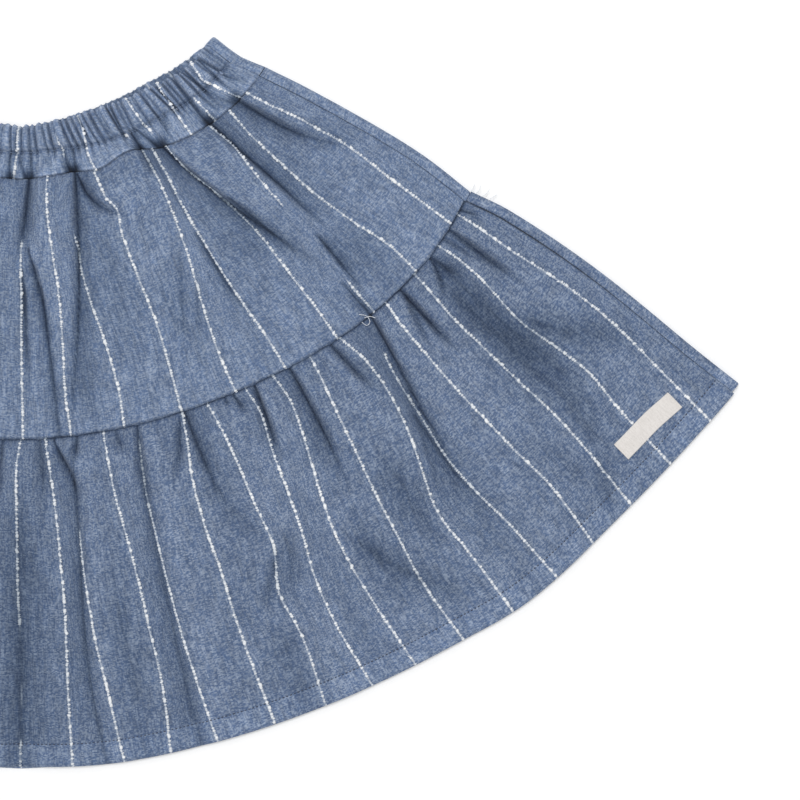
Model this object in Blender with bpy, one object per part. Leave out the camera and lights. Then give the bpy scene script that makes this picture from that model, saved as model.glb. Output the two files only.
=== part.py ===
"""A child's tiered skirt, laid flat on its back.

The skirt lies on the plane z = 0, back panels down and front panels on top of them, spread
like a fan with the waist towards +Y. A place on it is polar: an angle in degrees from the
centre line, positive towards +X, and a radius in metres from the fan's centre, the point
beyond the waist where its two sides would meet. Heights and lengths are in metres.

Each tier is a front and a back wall of cloth. The back one turns up round both sides of the
skirt and meets the front one at the side seams, a few millimetres in from the folded sides.
"""

import math
import random
from bisect import bisect
from collections import namedtuple

import bmesh
import bpy
from mathutils import Vector
from mathutils.bvhtree import BVHTree

# Walls and gaps: the cloth's thickness, the gap at every seam, the height of the gathers inside
# the back, and the level on which the front tiers lie
CLOTH = 0.0012
GAP = 0.0003
BACK_RELIEF = 0.0006
GROUND = CLOTH + BACK_RELIEF + 2 * GAP

# The sides: how far in the side seam lies, how high the back's fold stands there, and how wide
# the quiet stretch of the front beside it is
SEAM_INSET = 0.0055
TIER_ROLL = 0.0044
SIDE_CALM = 0.014
BAND_CALM_DEGREES = 5.0

# The waistband: the number and depth of its gathers, how uneven their widths are, where the
# rounded back of each one lies between its grooves, and the level on which the front lies
FRONT_GATHERS = 76
BACK_GATHERS = 24
GATHER_DEPTH = 0.0007
GATHER_UNEVENNESS = 0.18
GATHER_BACK = (0.36, 0.70)
GATHER_SEED = 4
BAND_GROUND = 0.0035

# The hem, turned up inside
HEM_DEPTH = 0.011
HEM_EXTRA = 0.0004

# The valleys at the folds: half width at the seam, its growth for each metre below the seam,
# and how steep their sides are
VALLEY = 0.0032
VALLEY_GROWTH = 0.085
VALLEY_POWER = 1.5
STEEPEST = 1.8

# Columns of points: how far apart a front tier's stand near its seam (at that share of its
# depth), how much closer they stand beside a crease (from 0 to 1), how many a back panel has,
# how much of its width its gathers take, and the turns of its folded side, in degrees
NEAR_SEAM = 0.15
UPPER_SPACING = 0.0040
LOWER_SPACING = 0.0050
CROWDING = 0.5
BACK_COLUMNS = 2 * BACK_GATHERS
BACK_GATHERED = 0.97
ROLL_STEPS = (45.0, 90.0, 135.0, 180.0)

# The blank woven label near the hem: its middle as a place on the fan, and the turn of its
# length from +X, in degrees
LABEL_LENGTH = 0.0375
LABEL_WIDTH = 0.0105
LABEL_THICKNESS = 0.0010
LABEL_ANGLE = 50.3
LABEL_RADIUS = 0.408
LABEL_TURN = 44.4
LABEL_CELLS = (10, 2)

# Colours of the pieces, in linear light, and the angle past which an edge is shaded sharp
BAND_BLUE = (0.153, 0.202, 0.296)
UPPER_BLUE = (0.181, 0.235, 0.342)
LOWER_BLUE = (0.168, 0.220, 0.328)
IVORY = (0.791, 0.761, 0.738)
CLOTH_ROUGHNESS = 0.9
SHARP_EDGE = 50.0

# Radius of each edge at shares of the half width, from the centre line (0) to the side (1)
Edge = namedtuple("Edge", "share radius")
FRONT_WAIST = [
    Edge(0.00, 0.1105), Edge(0.20, 0.1088), Edge(0.35, 0.1084), Edge(0.52, 0.1102),
    Edge(0.66, 0.1120), Edge(0.80, 0.1158), Edge(0.90, 0.1168), Edge(1.00, 0.1175),
]
BACK_WAIST = [
    Edge(0.00, 0.1108), Edge(0.20, 0.1084), Edge(0.35, 0.1076), Edge(0.52, 0.1080),
    Edge(0.66, 0.1092), Edge(0.80, 0.1124), Edge(0.90, 0.1145), Edge(1.00, 0.1175),
]
BAND_SEAM = [
    Edge(0.00, 0.1375), Edge(0.20, 0.1365), Edge(0.30, 0.1383), Edge(0.42, 0.1350),
    Edge(0.54, 0.1410), Edge(0.70, 0.1450), Edge(0.85, 0.1472), Edge(1.00, 0.1472),
]
TIER_SEAM = [
    Edge(0.00, 0.2675), Edge(0.30, 0.2662), Edge(0.50, 0.2672), Edge(0.72, 0.2702),
    Edge(0.87, 0.2698), Edge(1.00, 0.2670),
]
HEM = [
    Edge(0.00, 0.4305), Edge(0.10, 0.4315), Edge(0.22, 0.4297), Edge(0.40, 0.4280),
    Edge(0.53, 0.4284), Edge(0.64, 0.4308), Edge(0.78, 0.4280), Edge(0.90, 0.4292),
    Edge(1.00, 0.4327),
]
BACK_HEM = [
    Edge(0.00, 0.4332), Edge(0.06, 0.4322), Edge(0.12, 0.4305), Edge(0.22, 0.4290),
    Edge(0.40, 0.4275), Edge(0.53, 0.4279), Edge(0.64, 0.4303), Edge(0.78, 0.4275),
    Edge(0.90, 0.4288), Edge(1.00, 0.4327),
]

# Half width in degrees at shares of each piece's depth, from its top edge (0) to its foot (1)
Side = namedtuple("Side", "share degrees")
BAND_SIDE = [Side(0.00, 55.8), Side(0.46, 55.4), Side(0.56, 55.5), Side(1.00, 56.6)]
UPPER_SIDE = [
    Side(0.00, 56.6), Side(0.18, 57.5), Side(0.48, 58.15), Side(0.74, 58.2), Side(1.00, 57.5),
]
LOWER_SIDE = [
    Side(0.00, 57.6), Side(0.13, 58.05), Side(0.42, 57.8), Side(0.82, 56.7), Side(1.00, 56.35),
]

# Height that the cloth puffs up between the folds, at a distance below the piece's top seam
Puff = namedtuple("Puff", "distance height")
UPPER_PUFF = [
    Puff(0.000, 0.0032), Puff(0.004, 0.0046), Puff(0.010, 0.0055), Puff(0.022, 0.0055),
    Puff(0.042, 0.0042), Puff(0.067, 0.0028), Puff(0.097, 0.0018), Puff(0.130, 0.0010),
]
LOWER_PUFF = [
    Puff(0.000, 0.0010), Puff(0.003, 0.0030), Puff(0.010, 0.0046), Puff(0.022, 0.0046),
    Puff(0.040, 0.0036), Puff(0.068, 0.0026), Puff(0.100, 0.0018), Puff(0.133, 0.0012),
    Puff(0.165, 0.0009),
]

# The folds that run down from each seam: where the crease starts and where it would meet the
# foot of the tier, in degrees, how deep it is as a share of the puff, and how far it reaches
Fold = namedtuple("Fold", "top foot depth reach")
UPPER_FOLDS = [
    Fold(2.0, 0.3, 0.95, 0.105), Fold(11.2, 6.8, 1.00, 0.095), Fold(18.5, 14.5, 0.45, 0.030),
    Fold(26.3, 22.5, 0.90, 0.030), Fold(30.9, 33.6, 0.95, 0.055), Fold(40.8, 40.2, 1.00, 0.120),
    Fold(48.2, 52.6, 0.95, 0.060),
]
LOWER_FOLDS = [
    Fold(0.0, 0.0, 0.80, 0.120), Fold(2.2, 2.0, 0.45, 0.028), Fold(4.6, 5.7, 0.90, 0.060),
    Fold(10.3, 10.0, 0.45, 0.012), Fold(12.8, 12.4, 0.85, 0.110), Fold(16.1, 16.0, 0.35, 0.008),
    Fold(18.2, 18.0, 0.90, 0.070), Fold(22.8, 22.4, 0.50, 0.012), Fold(26.1, 24.6, 0.95, 0.045),
    Fold(30.6, 29.5, 0.95, 0.080), Fold(35.2, 36.2, 0.75, 0.030), Fold(40.8, 38.5, 1.00, 0.085),
    Fold(44.8, 43.6, 0.95, 0.060), Fold(49.3, 47.2, 0.90, 0.080), Fold(51.6, 51.6, 0.50, 0.014),
    Fold(53.2, 52.6, 0.80, 0.055), Fold(54.9, 54.6, 0.40, 0.010),
]

# Rows of points down a piece, as shares of its depth; the back walls need fewer
FRONT_UPPER_ROWS = (0.0, 0.03, 0.08, 0.18, 0.32, 0.48, 0.74, 1.0)
BACK_UPPER_ROWS = (0.0, 0.18, 0.48, 0.74, 1.0)
FRONT_LOWER_ROWS = (0.0, 0.02, 0.065, 0.13, 0.25, 0.42, 0.62, 0.82, 0.932, 1.0)
BACK_LOWER_ROWS = (0.0, 0.13, 0.42, 0.82, 0.932, 1.0)

# The waistband's rows: share of its depth, thickness, gather as a share of its full depth,
# height of the rolled side, and how far its level has come down to the tier's
BandRow = namedtuple("BandRow", "share thickness gather roll drop")
BAND_ROWS = [
    BandRow(0.00, 0.0016, 0.50, 0.0051, 0.0), BandRow(0.08, 0.0023, 1.00, 0.0058, 0.0),
    BandRow(0.46, 0.0023, 1.00, 0.0058, 0.0), BandRow(0.56, 0.0016, 0.55, 0.0051, 0.0),
    BandRow(1.00, 0.0014, 0.00, 0.0044, 1.0),
]

Piece = namedtuple("Piece", "top foot side puff folds")
UPPER = Piece(BAND_SEAM, TIER_SEAM, UPPER_SIDE, UPPER_PUFF, UPPER_FOLDS)
LOWER = Piece(TIER_SEAM, HEM, LOWER_SIDE, LOWER_PUFF, LOWER_FOLDS)

# The fan's centre stands above the middle of the skirt's outline, so that the origin is there
LOWEST = BACK_HEM[0].radius
HIGHEST = FRONT_WAIST[-1].radius * math.cos(math.radians(BAND_SIDE[0].degrees))
FAN_CENTRE_Y = (LOWEST + HIGHEST) / 2


def mix(a, b, share):
    return a + (b - a) * share


def smooth(x):
    """0 below 0, 1 above 1, and an S-curve between."""
    x = min(max(x, 0.0), 1.0)
    return x * x * (3.0 - 2.0 * x)


def along(rows, x):
    """The second column of a table at x, on a smooth curve through its rows."""
    xs = [row[0] for row in rows]
    last = len(rows) - 1
    i = min(max(bisect(xs, x) - 1, 0), last - 1)

    def slope(k):
        a, b = max(k - 1, 0), min(k + 1, last)
        return (rows[b][1] - rows[a][1]) / (xs[b] - xs[a])

    span = xs[i + 1] - xs[i]
    t = min(max((x - xs[i]) / span, 0.0), 1.0)
    start = rows[i][1] * (2 * t**3 - 3 * t**2 + 1) + slope(i) * span * (t**3 - 2 * t**2 + t)
    end = rows[i + 1][1] * (3 * t**2 - 2 * t**3) + slope(i + 1) * span * (t**3 - t**2)
    return start + end


def side_arc(top, foot, side, share):
    """Arc length from the centre line to the folded side, straight between the table's rows."""
    top_radius, foot_radius = along(top, 1.0), along(foot, 1.0)
    arcs = [mix(top_radius, foot_radius, s.share) * math.radians(s.degrees) for s in side]
    i = min(max(bisect([s.share for s in side], share) - 1, 0), len(side) - 2)
    t = (share - side[i].share) / (side[i + 1].share - side[i].share)
    return mix(arcs[i], arcs[i + 1], t)


def side_radius(top, foot, share):
    return mix(along(top, 1.0), along(foot, 1.0), share)


def side_angle(top, foot, side, share, inset=0.0):
    """Angle of the folded side, or of a line that far in from it, in degrees."""
    arc = side_arc(top, foot, side, share) - inset
    return math.degrees(arc / side_radius(top, foot, share))


def row_radius(top, foot, side, angle, share, trim=GAP / 2):
    """Radius of a row at an angle; the piece ends half a gap short of its seams."""
    across = min(abs(angle) / side_angle(top, foot, side, share), 1.0)
    return mix(along(top, across) + trim, along(foot, across) - trim, share)


def place(angle, radius, height):
    a = math.radians(angle)
    return Vector((radius * math.sin(a), -radius * math.cos(a), height))


def both_halves(folds):
    """The folds of a whole front: the right half's, and like ones with other sizes on the left."""
    left = []
    for i, fold in enumerate(folds):
        if fold.top < 1.0:
            continue
        shift = 0.7 * math.sin(2.3 * i + 1.0)
        left.append(
            Fold(
                -fold.top + shift * 0.5,
                -fold.foot + shift,
                fold.depth * (0.9 + 0.1 * math.cos(1.7 * i)),
                fold.reach * (0.9 + 0.25 * math.sin(3.1 * i)),
            )
        )
    return sorted(left + list(folds))


def crease_angle(fold, share):
    return mix(fold.top, fold.foot, smooth(share))


def puff_height(piece, angle, share):
    """How far a front tier stands above its ground at a place, folds taken out."""
    radius = row_radius(piece.top, piece.foot, piece.side, angle, share)
    distance = share * (piece.foot[0].radius - piece.top[0].radius)
    width = VALLEY + VALLEY_GROWTH * distance
    kept = 1.0
    for fold in both_halves(piece.folds):
        arc = radius * math.radians(angle - crease_angle(fold, share))
        strength = fold.depth * math.exp(-((distance / fold.reach) ** 2))
        kept *= 1.0 - strength * math.exp(-((abs(arc) / width) ** VALLEY_POWER))
    limit = side_angle(piece.top, piece.foot, piece.side, share, SEAM_INSET)
    calm = smooth(radius * math.radians(limit - abs(angle)) / SIDE_CALM)
    return along(piece.puff, distance) * kept * calm


def tier_under(piece, angle, share):
    """Height of a front tier's underside: on the back panel, and up to the roll at its sides."""
    radius = row_radius(piece.top, piece.foot, piece.side, angle, share)
    limit = side_angle(piece.top, piece.foot, piece.side, share, SEAM_INSET)
    inside = smooth(radius * math.radians(limit - abs(angle)) / SIDE_CALM)
    return mix(TIER_ROLL - CLOTH, GROUND, inside) + puff_height(piece, angle, share)


def tier_thickness(piece, angle, share):
    """The wall's thickness straight up, more where the cloth stands steeper."""
    step = 0.15  # degrees
    radius = row_radius(piece.top, piece.foot, piece.side, angle, share)
    rise = tier_under(piece, angle + step, share) - tier_under(piece, angle - step, share)
    slope = rise / (2 * radius * math.radians(step))
    return CLOTH * min(math.hypot(1.0, slope), STEEPEST)


def hem_thickening(piece, share):
    depth = piece.foot[0].radius - piece.top[0].radius
    return HEM_EXTRA if share > 1.0 - 0.9 * HEM_DEPTH / depth else 0.0


def cloth_material(name, colour):
    material = bpy.data.materials.new(name + "_cloth")
    material.use_nodes = True
    shader = material.node_tree.nodes["Principled BSDF"]
    shader.inputs["Base Color"].default_value = (*colour, 1.0)
    shader.inputs["Roughness"].default_value = CLOTH_ROUGHNESS
    shader.inputs["Metallic"].default_value = 0.0
    return material


def wall(name, outer, inner, colour):
    """A closed wall of cloth. outer and inner are the points of its two faces, column by column:
    a flat grid is pushed out to a slab, and the slab's two sides are moved to them."""
    columns, rows = len(outer) - 1, len(outer[0]) - 1
    bm = bmesh.new()
    bmesh.ops.create_grid(bm, x_segments=columns, y_segments=rows, size=0.5)
    bm.verts.ensure_lookup_table()
    cell = {v: (round((v.co.x + 0.5) * columns), round((v.co.y + 0.5) * rows)) for v in bm.verts}
    pushed = bmesh.ops.extrude_face_region(bm, geom=bm.faces[:])["geom"]
    for vert in [g for g in pushed if isinstance(g, bmesh.types.BMVert)]:
        column = round((vert.co.x + 0.5) * columns)
        row = round((vert.co.y + 0.5) * rows)
        vert.co = outer[column][row]
    for vert, (column, row) in cell.items():
        vert.co = inner[column][row]
    bmesh.ops.recalc_face_normals(bm, faces=bm.faces[:])
    mesh = bpy.data.meshes.new(name)
    bm.to_mesh(mesh)
    bm.free()
    mesh.shade_smooth()
    mesh.set_sharp_from_angle(angle=math.radians(SHARP_EDGE))
    mesh.materials.append(cloth_material(name, colour))
    body = bpy.data.objects.new(name, mesh)
    body.location.y = FAN_CENTRE_Y
    return body


def fold_columns(piece, spacing):
    """Columns of a front tier as (fold interval, share of it): each fold's crease has its own
    column, and the cloth between two creases has as many more as the spacing asks for, closer
    together beside the creases."""
    ends = len(both_halves(piece.folds)) + 1
    radius = mix(piece.top[0].radius, piece.foot[0].radius, NEAR_SEAM)
    knots = crease_knots(piece, NEAR_SEAM)
    columns = []
    for k in range(ends):
        left, right = knots[k], knots[k + 1]
        count = max(2, round(radius * math.radians(right - left) / spacing))
        shares = [n / count for n in range(count)]
        columns += [(k, t - CROWDING * math.sin(math.tau * t) / math.tau) for t in shares]
    return columns + [(ends - 1, 1.0)]


def crease_knots(piece, share):
    """Angles of all creases at a row, between the front's two side edges."""
    edge = side_angle(piece.top, piece.foot, piece.side, share, SEAM_INSET + GAP)
    return [-edge] + [crease_angle(f, share) for f in both_halves(piece.folds)] + [edge]


def front_tier(name, piece, rows, spacing, colour, hemmed=False):
    outer, inner = [], []
    knots = {share: crease_knots(piece, share) for share in rows}
    for k, t in fold_columns(piece, spacing):
        tops, unders = [], []
        for share in rows:
            angle = mix(knots[share][k], knots[share][k + 1], t)
            radius = row_radius(piece.top, piece.foot, piece.side, angle, share)
            under = tier_under(piece, angle, share)
            thickness = tier_thickness(piece, angle, share)
            if hemmed:
                thickness += hem_thickening(piece, share)
            tops.append(place(angle, radius, under + thickness))
            unders.append(place(angle, radius, under))
        outer.append(tops)
        inner.append(unders)
    return wall(name, outer, inner, colour)


def rolled_section(flat_shares, arc, roll, thickness):
    """One cross-section of a back wall, from one side seam round to the other: flat on the
    table, up round each side, and in to the seam. Gives (arc, outer, arc, inner, share) rows,
    where share is the place across the flat part, or None on the roll."""
    turn = roll / 2
    half = []
    for degrees in ROLL_STEPS:
        a = math.radians(degrees)
        out = (arc - turn + turn * math.sin(a), turn - turn * math.cos(a))
        hollow = turn - thickness
        ins = (arc - turn + hollow * math.sin(a), turn - hollow * math.cos(a))
        half.append((*out, *ins, None))
    half.append((arc - SEAM_INSET, roll, arc - SEAM_INSET, roll - thickness, None))
    flat = [(s * (arc - turn), 0.0, s * (arc - turn), thickness, s) for s in flat_shares]
    mirrored = [(-row[0], row[1], -row[2], row[3], None) for row in reversed(half)]
    return mirrored + flat + half


def back_wall(name, top, foot, side, rows, colour):
    """A back wall from rows of (share, thickness, relief, roll): the underside is flat, and the
    inner face has low gathers that die out towards the sides."""
    flat_shares = [n / BACK_COLUMNS * 2.0 - 1.0 for n in range(BACK_COLUMNS + 1)]
    outer = [[] for _ in range(len(flat_shares) + 2 * (len(ROLL_STEPS) + 1))]
    inner = [[] for _ in outer]
    for share, thickness, relief, roll in rows:
        arc = side_arc(top, foot, side, share)
        at_side = side_radius(top, foot, share)
        section = rolled_section(flat_shares, arc, roll, thickness)
        for c, (out_arc, out_height, in_arc, in_height, across) in enumerate(section):
            if across is not None and abs(across) < BACK_GATHERED:
                in_height += relief * (c % 2)
            for column, s, height in ((outer[c], out_arc, out_height), (inner[c], in_arc, in_height)):
                angle = math.degrees(s / at_side)
                radius = row_radius(top, foot, side, angle, share)
                column.append(place(angle, radius, height))
    return wall(name, outer, inner, colour)


def gather_columns():
    """Columns of the front waistband as (share across it, depth of the gather there), three for
    each gather: its groove, then two on its rounded back. They are uneven, as elastic makes them."""
    chance = random.Random(GATHER_SEED)
    grooves = [0.0]
    for k in range(1, FRONT_GATHERS):
        shift = chance.uniform(-GATHER_UNEVENNESS, GATHER_UNEVENNESS)
        grooves.append((k + shift) / FRONT_GATHERS)
    grooves.append(1.0)
    columns = []
    for left, right in zip(grooves, grooves[1:]):
        depth = chance.uniform(0.7, 1.0)
        columns.append((left, -depth))
        columns += [(mix(left, right, share), depth) for share in GATHER_BACK]
    return columns + [(1.0, -1.0)]


def front_waistband(name, colour):
    outer, inner = [], []
    for across, depth in gather_columns():
        tops, unders = [], []
        for row in BAND_ROWS:
            edge = side_angle(FRONT_WAIST, BAND_SEAM, BAND_SIDE, row.share, SEAM_INSET + GAP)
            angle = mix(-edge, edge, across)
            radius = row_radius(FRONT_WAIST, BAND_SEAM, BAND_SIDE, angle, row.share)
            joined = tier_under(UPPER, angle, 0.0)
            under = mix(BAND_GROUND, joined, row.drop)
            calm = smooth((edge - abs(angle)) / BAND_CALM_DEGREES)
            wave = GATHER_DEPTH * row.gather * depth * mix(0.3, 1.0, calm)
            tops.append(place(angle, radius, under + row.thickness + wave))
            unders.append(place(angle, radius, under))
        outer.append(tops)
        inner.append(unders)
    return wall(name, outer, inner, colour)


def label_tape(name, panel, colour):
    """The blank label: a grid of points dropped onto the front lower tier, moved out by a gap,
    then out again by the label's thickness."""
    surface = BVHTree.FromObject(panel, bpy.context.evaluated_depsgraph_get())
    middle = place(LABEL_ANGLE, LABEL_RADIUS, 0.0)
    turn = math.radians(LABEL_TURN)
    length_way = Vector((math.cos(turn), math.sin(turn), 0.0))
    width_way = Vector((-math.sin(turn), math.cos(turn), 0.0))
    outer, inner = [], []
    along_count, across_count = LABEL_CELLS
    for i in range(along_count + 1):
        tops, unders = [], []
        for j in range(across_count + 1):
            point = middle + length_way * LABEL_LENGTH * (i / along_count - 0.5)
            point += width_way * LABEL_WIDTH * (j / across_count - 0.5)
            hit = surface.ray_cast(Vector((point.x, point.y, 1.0)), Vector((0, 0, -1)))[0]
            unders.append(hit + Vector((0, 0, GAP)))
            tops.append(hit + Vector((0, 0, GAP + LABEL_THICKNESS)))
        outer.append(tops)
        inner.append(unders)
    return wall(name, outer, inner, colour)


def clear_scene():
    for leftover in list(bpy.data.objects):
        bpy.data.objects.remove(leftover)


def band_back_rows():
    return [(row.share, row.thickness, BACK_RELIEF * row.gather, row.roll) for row in BAND_ROWS]


def upper_back_rows():
    """The gathers of the waist die out towards the tier seam."""
    return [(share, CLOTH, BACK_RELIEF * (1.0 - share), TIER_ROLL) for share in BACK_UPPER_ROWS]


def lower_back_rows():
    """The gathers of the tier seam die out towards the hem, which is thicker."""
    return [
        (share, CLOTH + hem_thickening(LOWER, share), BACK_RELIEF * (1.0 - share), TIER_ROLL)
        for share in BACK_LOWER_ROWS
    ]


def build():
    clear_scene()
    skirt = bpy.data.collections.new("tiered_skirt")
    bpy.context.scene.collection.children.link(skirt)
    front_lower = front_tier(
        "lower_tier_front", LOWER, FRONT_LOWER_ROWS, LOWER_SPACING, LOWER_BLUE, hemmed=True
    )
    for panel in (
        back_wall("waistband_back", BACK_WAIST, BAND_SEAM, BAND_SIDE, band_back_rows(), BAND_BLUE),
        back_wall(
            "upper_tier_back", BAND_SEAM, TIER_SEAM, UPPER_SIDE, upper_back_rows(), UPPER_BLUE
        ),
        back_wall("lower_tier_back", TIER_SEAM, BACK_HEM, LOWER_SIDE, lower_back_rows(), LOWER_BLUE),
        front_waistband("waistband_front", BAND_BLUE),
        front_tier("upper_tier_front", UPPER, FRONT_UPPER_ROWS, UPPER_SPACING, UPPER_BLUE),
        front_lower,
    ):
        skirt.objects.link(panel)
    bpy.context.view_layer.update()
    skirt.objects.link(label_tape("label", front_lower, IVORY))


build()
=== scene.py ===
# %% [markdown]
# # A child's tiered skirt, laid flat
#
# This is a pull-on skirt of blue chambray with white slub pinstripes. It lies on its back, spread
# like a fan. Two tiers of cloth hang from an elastic waistband, and each is gathered onto the
# edge above it, so the folds start as sharp pinches at a seam and melt away below it.
#
# The lesson follows the order in which such a skirt is sewn: the cloth, the upper tier, the lower
# tier, the waistband, the backs, and then the yarns, stitches and label that lie on them.

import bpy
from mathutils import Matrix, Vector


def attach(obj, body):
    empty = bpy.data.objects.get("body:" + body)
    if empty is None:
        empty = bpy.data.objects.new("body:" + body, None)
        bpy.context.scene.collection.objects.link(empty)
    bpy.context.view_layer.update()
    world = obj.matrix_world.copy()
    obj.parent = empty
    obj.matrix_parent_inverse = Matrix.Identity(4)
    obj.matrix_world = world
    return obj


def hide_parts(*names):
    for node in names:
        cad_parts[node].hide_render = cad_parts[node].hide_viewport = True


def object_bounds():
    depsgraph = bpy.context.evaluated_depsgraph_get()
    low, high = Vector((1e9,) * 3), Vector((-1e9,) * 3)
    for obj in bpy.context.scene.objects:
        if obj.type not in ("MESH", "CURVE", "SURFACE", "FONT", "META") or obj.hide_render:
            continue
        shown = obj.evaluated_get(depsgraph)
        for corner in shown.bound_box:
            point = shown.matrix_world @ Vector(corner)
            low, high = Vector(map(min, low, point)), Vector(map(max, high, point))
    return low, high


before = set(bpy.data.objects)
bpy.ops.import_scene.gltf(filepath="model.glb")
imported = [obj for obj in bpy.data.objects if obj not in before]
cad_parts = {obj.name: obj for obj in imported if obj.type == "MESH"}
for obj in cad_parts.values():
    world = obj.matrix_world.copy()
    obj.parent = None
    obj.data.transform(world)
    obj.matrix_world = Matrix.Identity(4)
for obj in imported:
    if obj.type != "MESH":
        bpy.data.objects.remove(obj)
cad_low, cad_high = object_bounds()
print("solids from", list(cad_low), "to", list(cad_high))

# %% Modules and units
import math
from collections import namedtuple

import bpy
import numpy as np
from mathutils import Vector
from mathutils.bvhtree import BVHTree

MM = 0.001
BODY = "root"

# %% [markdown]
# ## Places on a fan
#
# Spread out like this, a gathered skirt is a piece of a ring. So a place on it is an angle from
# the centre line, in degrees, and a radius from the ring's centre, in metres. A cloth yarn that
# runs from waist to hem then keeps nearly one angle, and a seam keeps nearly one radius.

# %% The fan
BACK_HEM_AT_CENTRE = 433.2 * MM
FAN_CENTRE_Y = cad_low.y + BACK_HEM_AT_CENTRE


def place(angle, radius, height):
    """Points in space from places on the fan. Takes numbers or arrays."""
    a = np.radians(angle)
    x, y = radius * np.sin(a), FAN_CENTRE_Y - radius * np.cos(a)
    return np.stack(np.broadcast_arrays(x, y, height), axis=-1)


print("the fan's centre is at y =", round(FAN_CENTRE_Y, 4))

# %% [markdown]
# Edges and seams aren't true arcs: they wander by a few millimetres, as hand-laid cloth does. A
# short table gives each one a few radii, and a smooth curve runs through them. The same curve
# reader serves every table below.

# %% Curves through tables
def smooth(x):
    """0 below 0, 1 above 1, and an S-curve between."""
    x = np.clip(x, 0.0, 1.0)
    return x * x * (3.0 - 2.0 * x)


def mix(a, b, share):
    return a + (b - a) * share


def bell(x, width):
    """1 at 0, falling smoothly to almost nothing two widths away."""
    return np.exp(-((x / width) ** 2))


def table(kind, *rows):
    return [kind(*row) for row in rows]


def curve_through(xs, ys, x):
    """A smooth curve through the points (xs, ys), read at x."""
    xs, ys = np.asarray(xs, float), np.asarray(ys, float)
    k = np.arange(len(xs))
    before, after = np.maximum(k - 1, 0), np.minimum(k + 1, len(xs) - 1)
    slopes = (ys[after] - ys[before]) / (xs[after] - xs[before])
    i = np.clip(np.searchsorted(xs, x, side="right") - 1, 0, len(xs) - 2)
    span = xs[i + 1] - xs[i]
    t = np.clip((x - xs[i]) / span, 0.0, 1.0)
    start = ys[i] * (2 * t**3 - 3 * t**2 + 1) + slopes[i] * span * (t**3 - 2 * t**2 + t)
    end = ys[i + 1] * (3 * t**2 - 2 * t**3) + slopes[i + 1] * span * (t**3 - t**2)
    return start + end


def along(rows, x):
    """The second column of a table, read at x of its first column."""
    return curve_through([row[0] for row in rows], [row[1] for row in rows], x)


# %% Edges of the pieces
Edge = namedtuple("Edge", "share radius")  # share of the half width, 0 at the centre, 1 at the side
FRONT_WAIST = table(
    Edge, (0.00, 0.1105), (0.20, 0.1088), (0.35, 0.1084), (0.52, 0.1102), (0.66, 0.1120), (0.80, 0.1158),
    (0.90, 0.1164), (0.95, 0.1168), (1.00, 0.1175),
)
BACK_WAIST = table(
    Edge, (0.00, 0.1108), (0.20, 0.1084), (0.35, 0.1076), (0.52, 0.1080), (0.66, 0.1092), (0.80, 0.1124),
    (0.90, 0.1147), (0.95, 0.1168), (1.00, 0.1175),
)
ELASTIC_EDGE = table(
    Edge, (0.00, 0.1240), (0.18, 0.1240), (0.33, 0.1256), (0.50, 0.1267), (0.63, 0.1278), (0.72, 0.1293),
    (0.81, 0.1306), (0.90, 0.1309), (1.00, 0.1308),
)
BAND_SEAM = table(
    Edge, (0.00, 0.1375), (0.20, 0.1365), (0.30, 0.1383), (0.42, 0.1350), (0.54, 0.1410), (0.70, 0.1450),
    (0.85, 0.1472), (1.00, 0.1472),
)
TIER_SEAM = table(
    Edge, (0.00, 0.2675), (0.30, 0.2662), (0.50, 0.2672), (0.72, 0.2702), (0.87, 0.2698), (1.00, 0.2670),
)
HEM = table(
    Edge, (0.00, 0.4305), (0.10, 0.4315), (0.22, 0.4297), (0.40, 0.4280), (0.53, 0.4284), (0.64, 0.4308),
    (0.78, 0.4280), (0.90, 0.4292), (1.00, 0.4327),
)
BACK_HEM = table(
    Edge, (0.00, 0.4332), (0.06, 0.4322), (0.12, 0.4305), (0.22, 0.4290), (0.40, 0.4275), (0.53, 0.4279),
    (0.64, 0.4303), (0.78, 0.4275), (0.90, 0.4288), (1.00, 0.4327),
)
Side = namedtuple("Side", "share degrees")  # share of the piece's depth, 0 at its top edge
BAND_SIDE = table(
    Side, (0.00, 55.8), (0.46, 55.4), (0.56, 55.5), (1.00, 56.6),
)
UPPER_SIDE = table(
    Side, (0.00, 56.6), (0.18, 57.5), (0.48, 58.15), (0.74, 58.2), (1.00, 57.5),
)
LOWER_SIDE = table(
    Side, (0.00, 57.6), (0.13, 58.05), (0.42, 57.8), (0.82, 56.7), (1.00, 56.35),
)
SEAM_INSET = 5.5 * MM  # the side seam lies this far in from the folded side
FRONT_INSET = SEAM_INSET + 0.1 * MM  # and the fronts stop just short of it


Form = namedtuple("Form", "top foot side")  # the tables of a piece's edges and of its side


def depth_of(form):
    return form.foot[0].radius - form.top[0].radius


def radius_at(form, angle, share):
    """Radius of a place that is a share of the way down a piece."""
    across = np.clip(np.abs(angle) / along(form.side, share), 0.0, 1.0)
    return mix(along(form.top, across), along(form.foot, across), share)


def half_angle(form, share, inset=0.0):
    """Angle of the folded side at a share of the depth, or of a line that far in from it."""
    at_side = mix(form.top[-1].radius, form.foot[-1].radius, share)
    return along(form.side, share) - np.degrees(inset / at_side)


print("hem width", round(2000 * HEM[-1].radius * math.sin(math.radians(LOWER_SIDE[-1].degrees))), "mm")

# %% [markdown]
# ## The cloth and its stripes
#
# The stripes are woven in, 27.3 mm apart, so they show how the cloth was gathered: at a hem they
# are evenly spaced, and at a seam they crowd together, bend, or vanish into a fold. The tables
# below chart each stripe of the right half by its angle at a few distances below the seam. The
# left half, which mirrors it loosely, gets the same stripes with a slow drift of its own.

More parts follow.
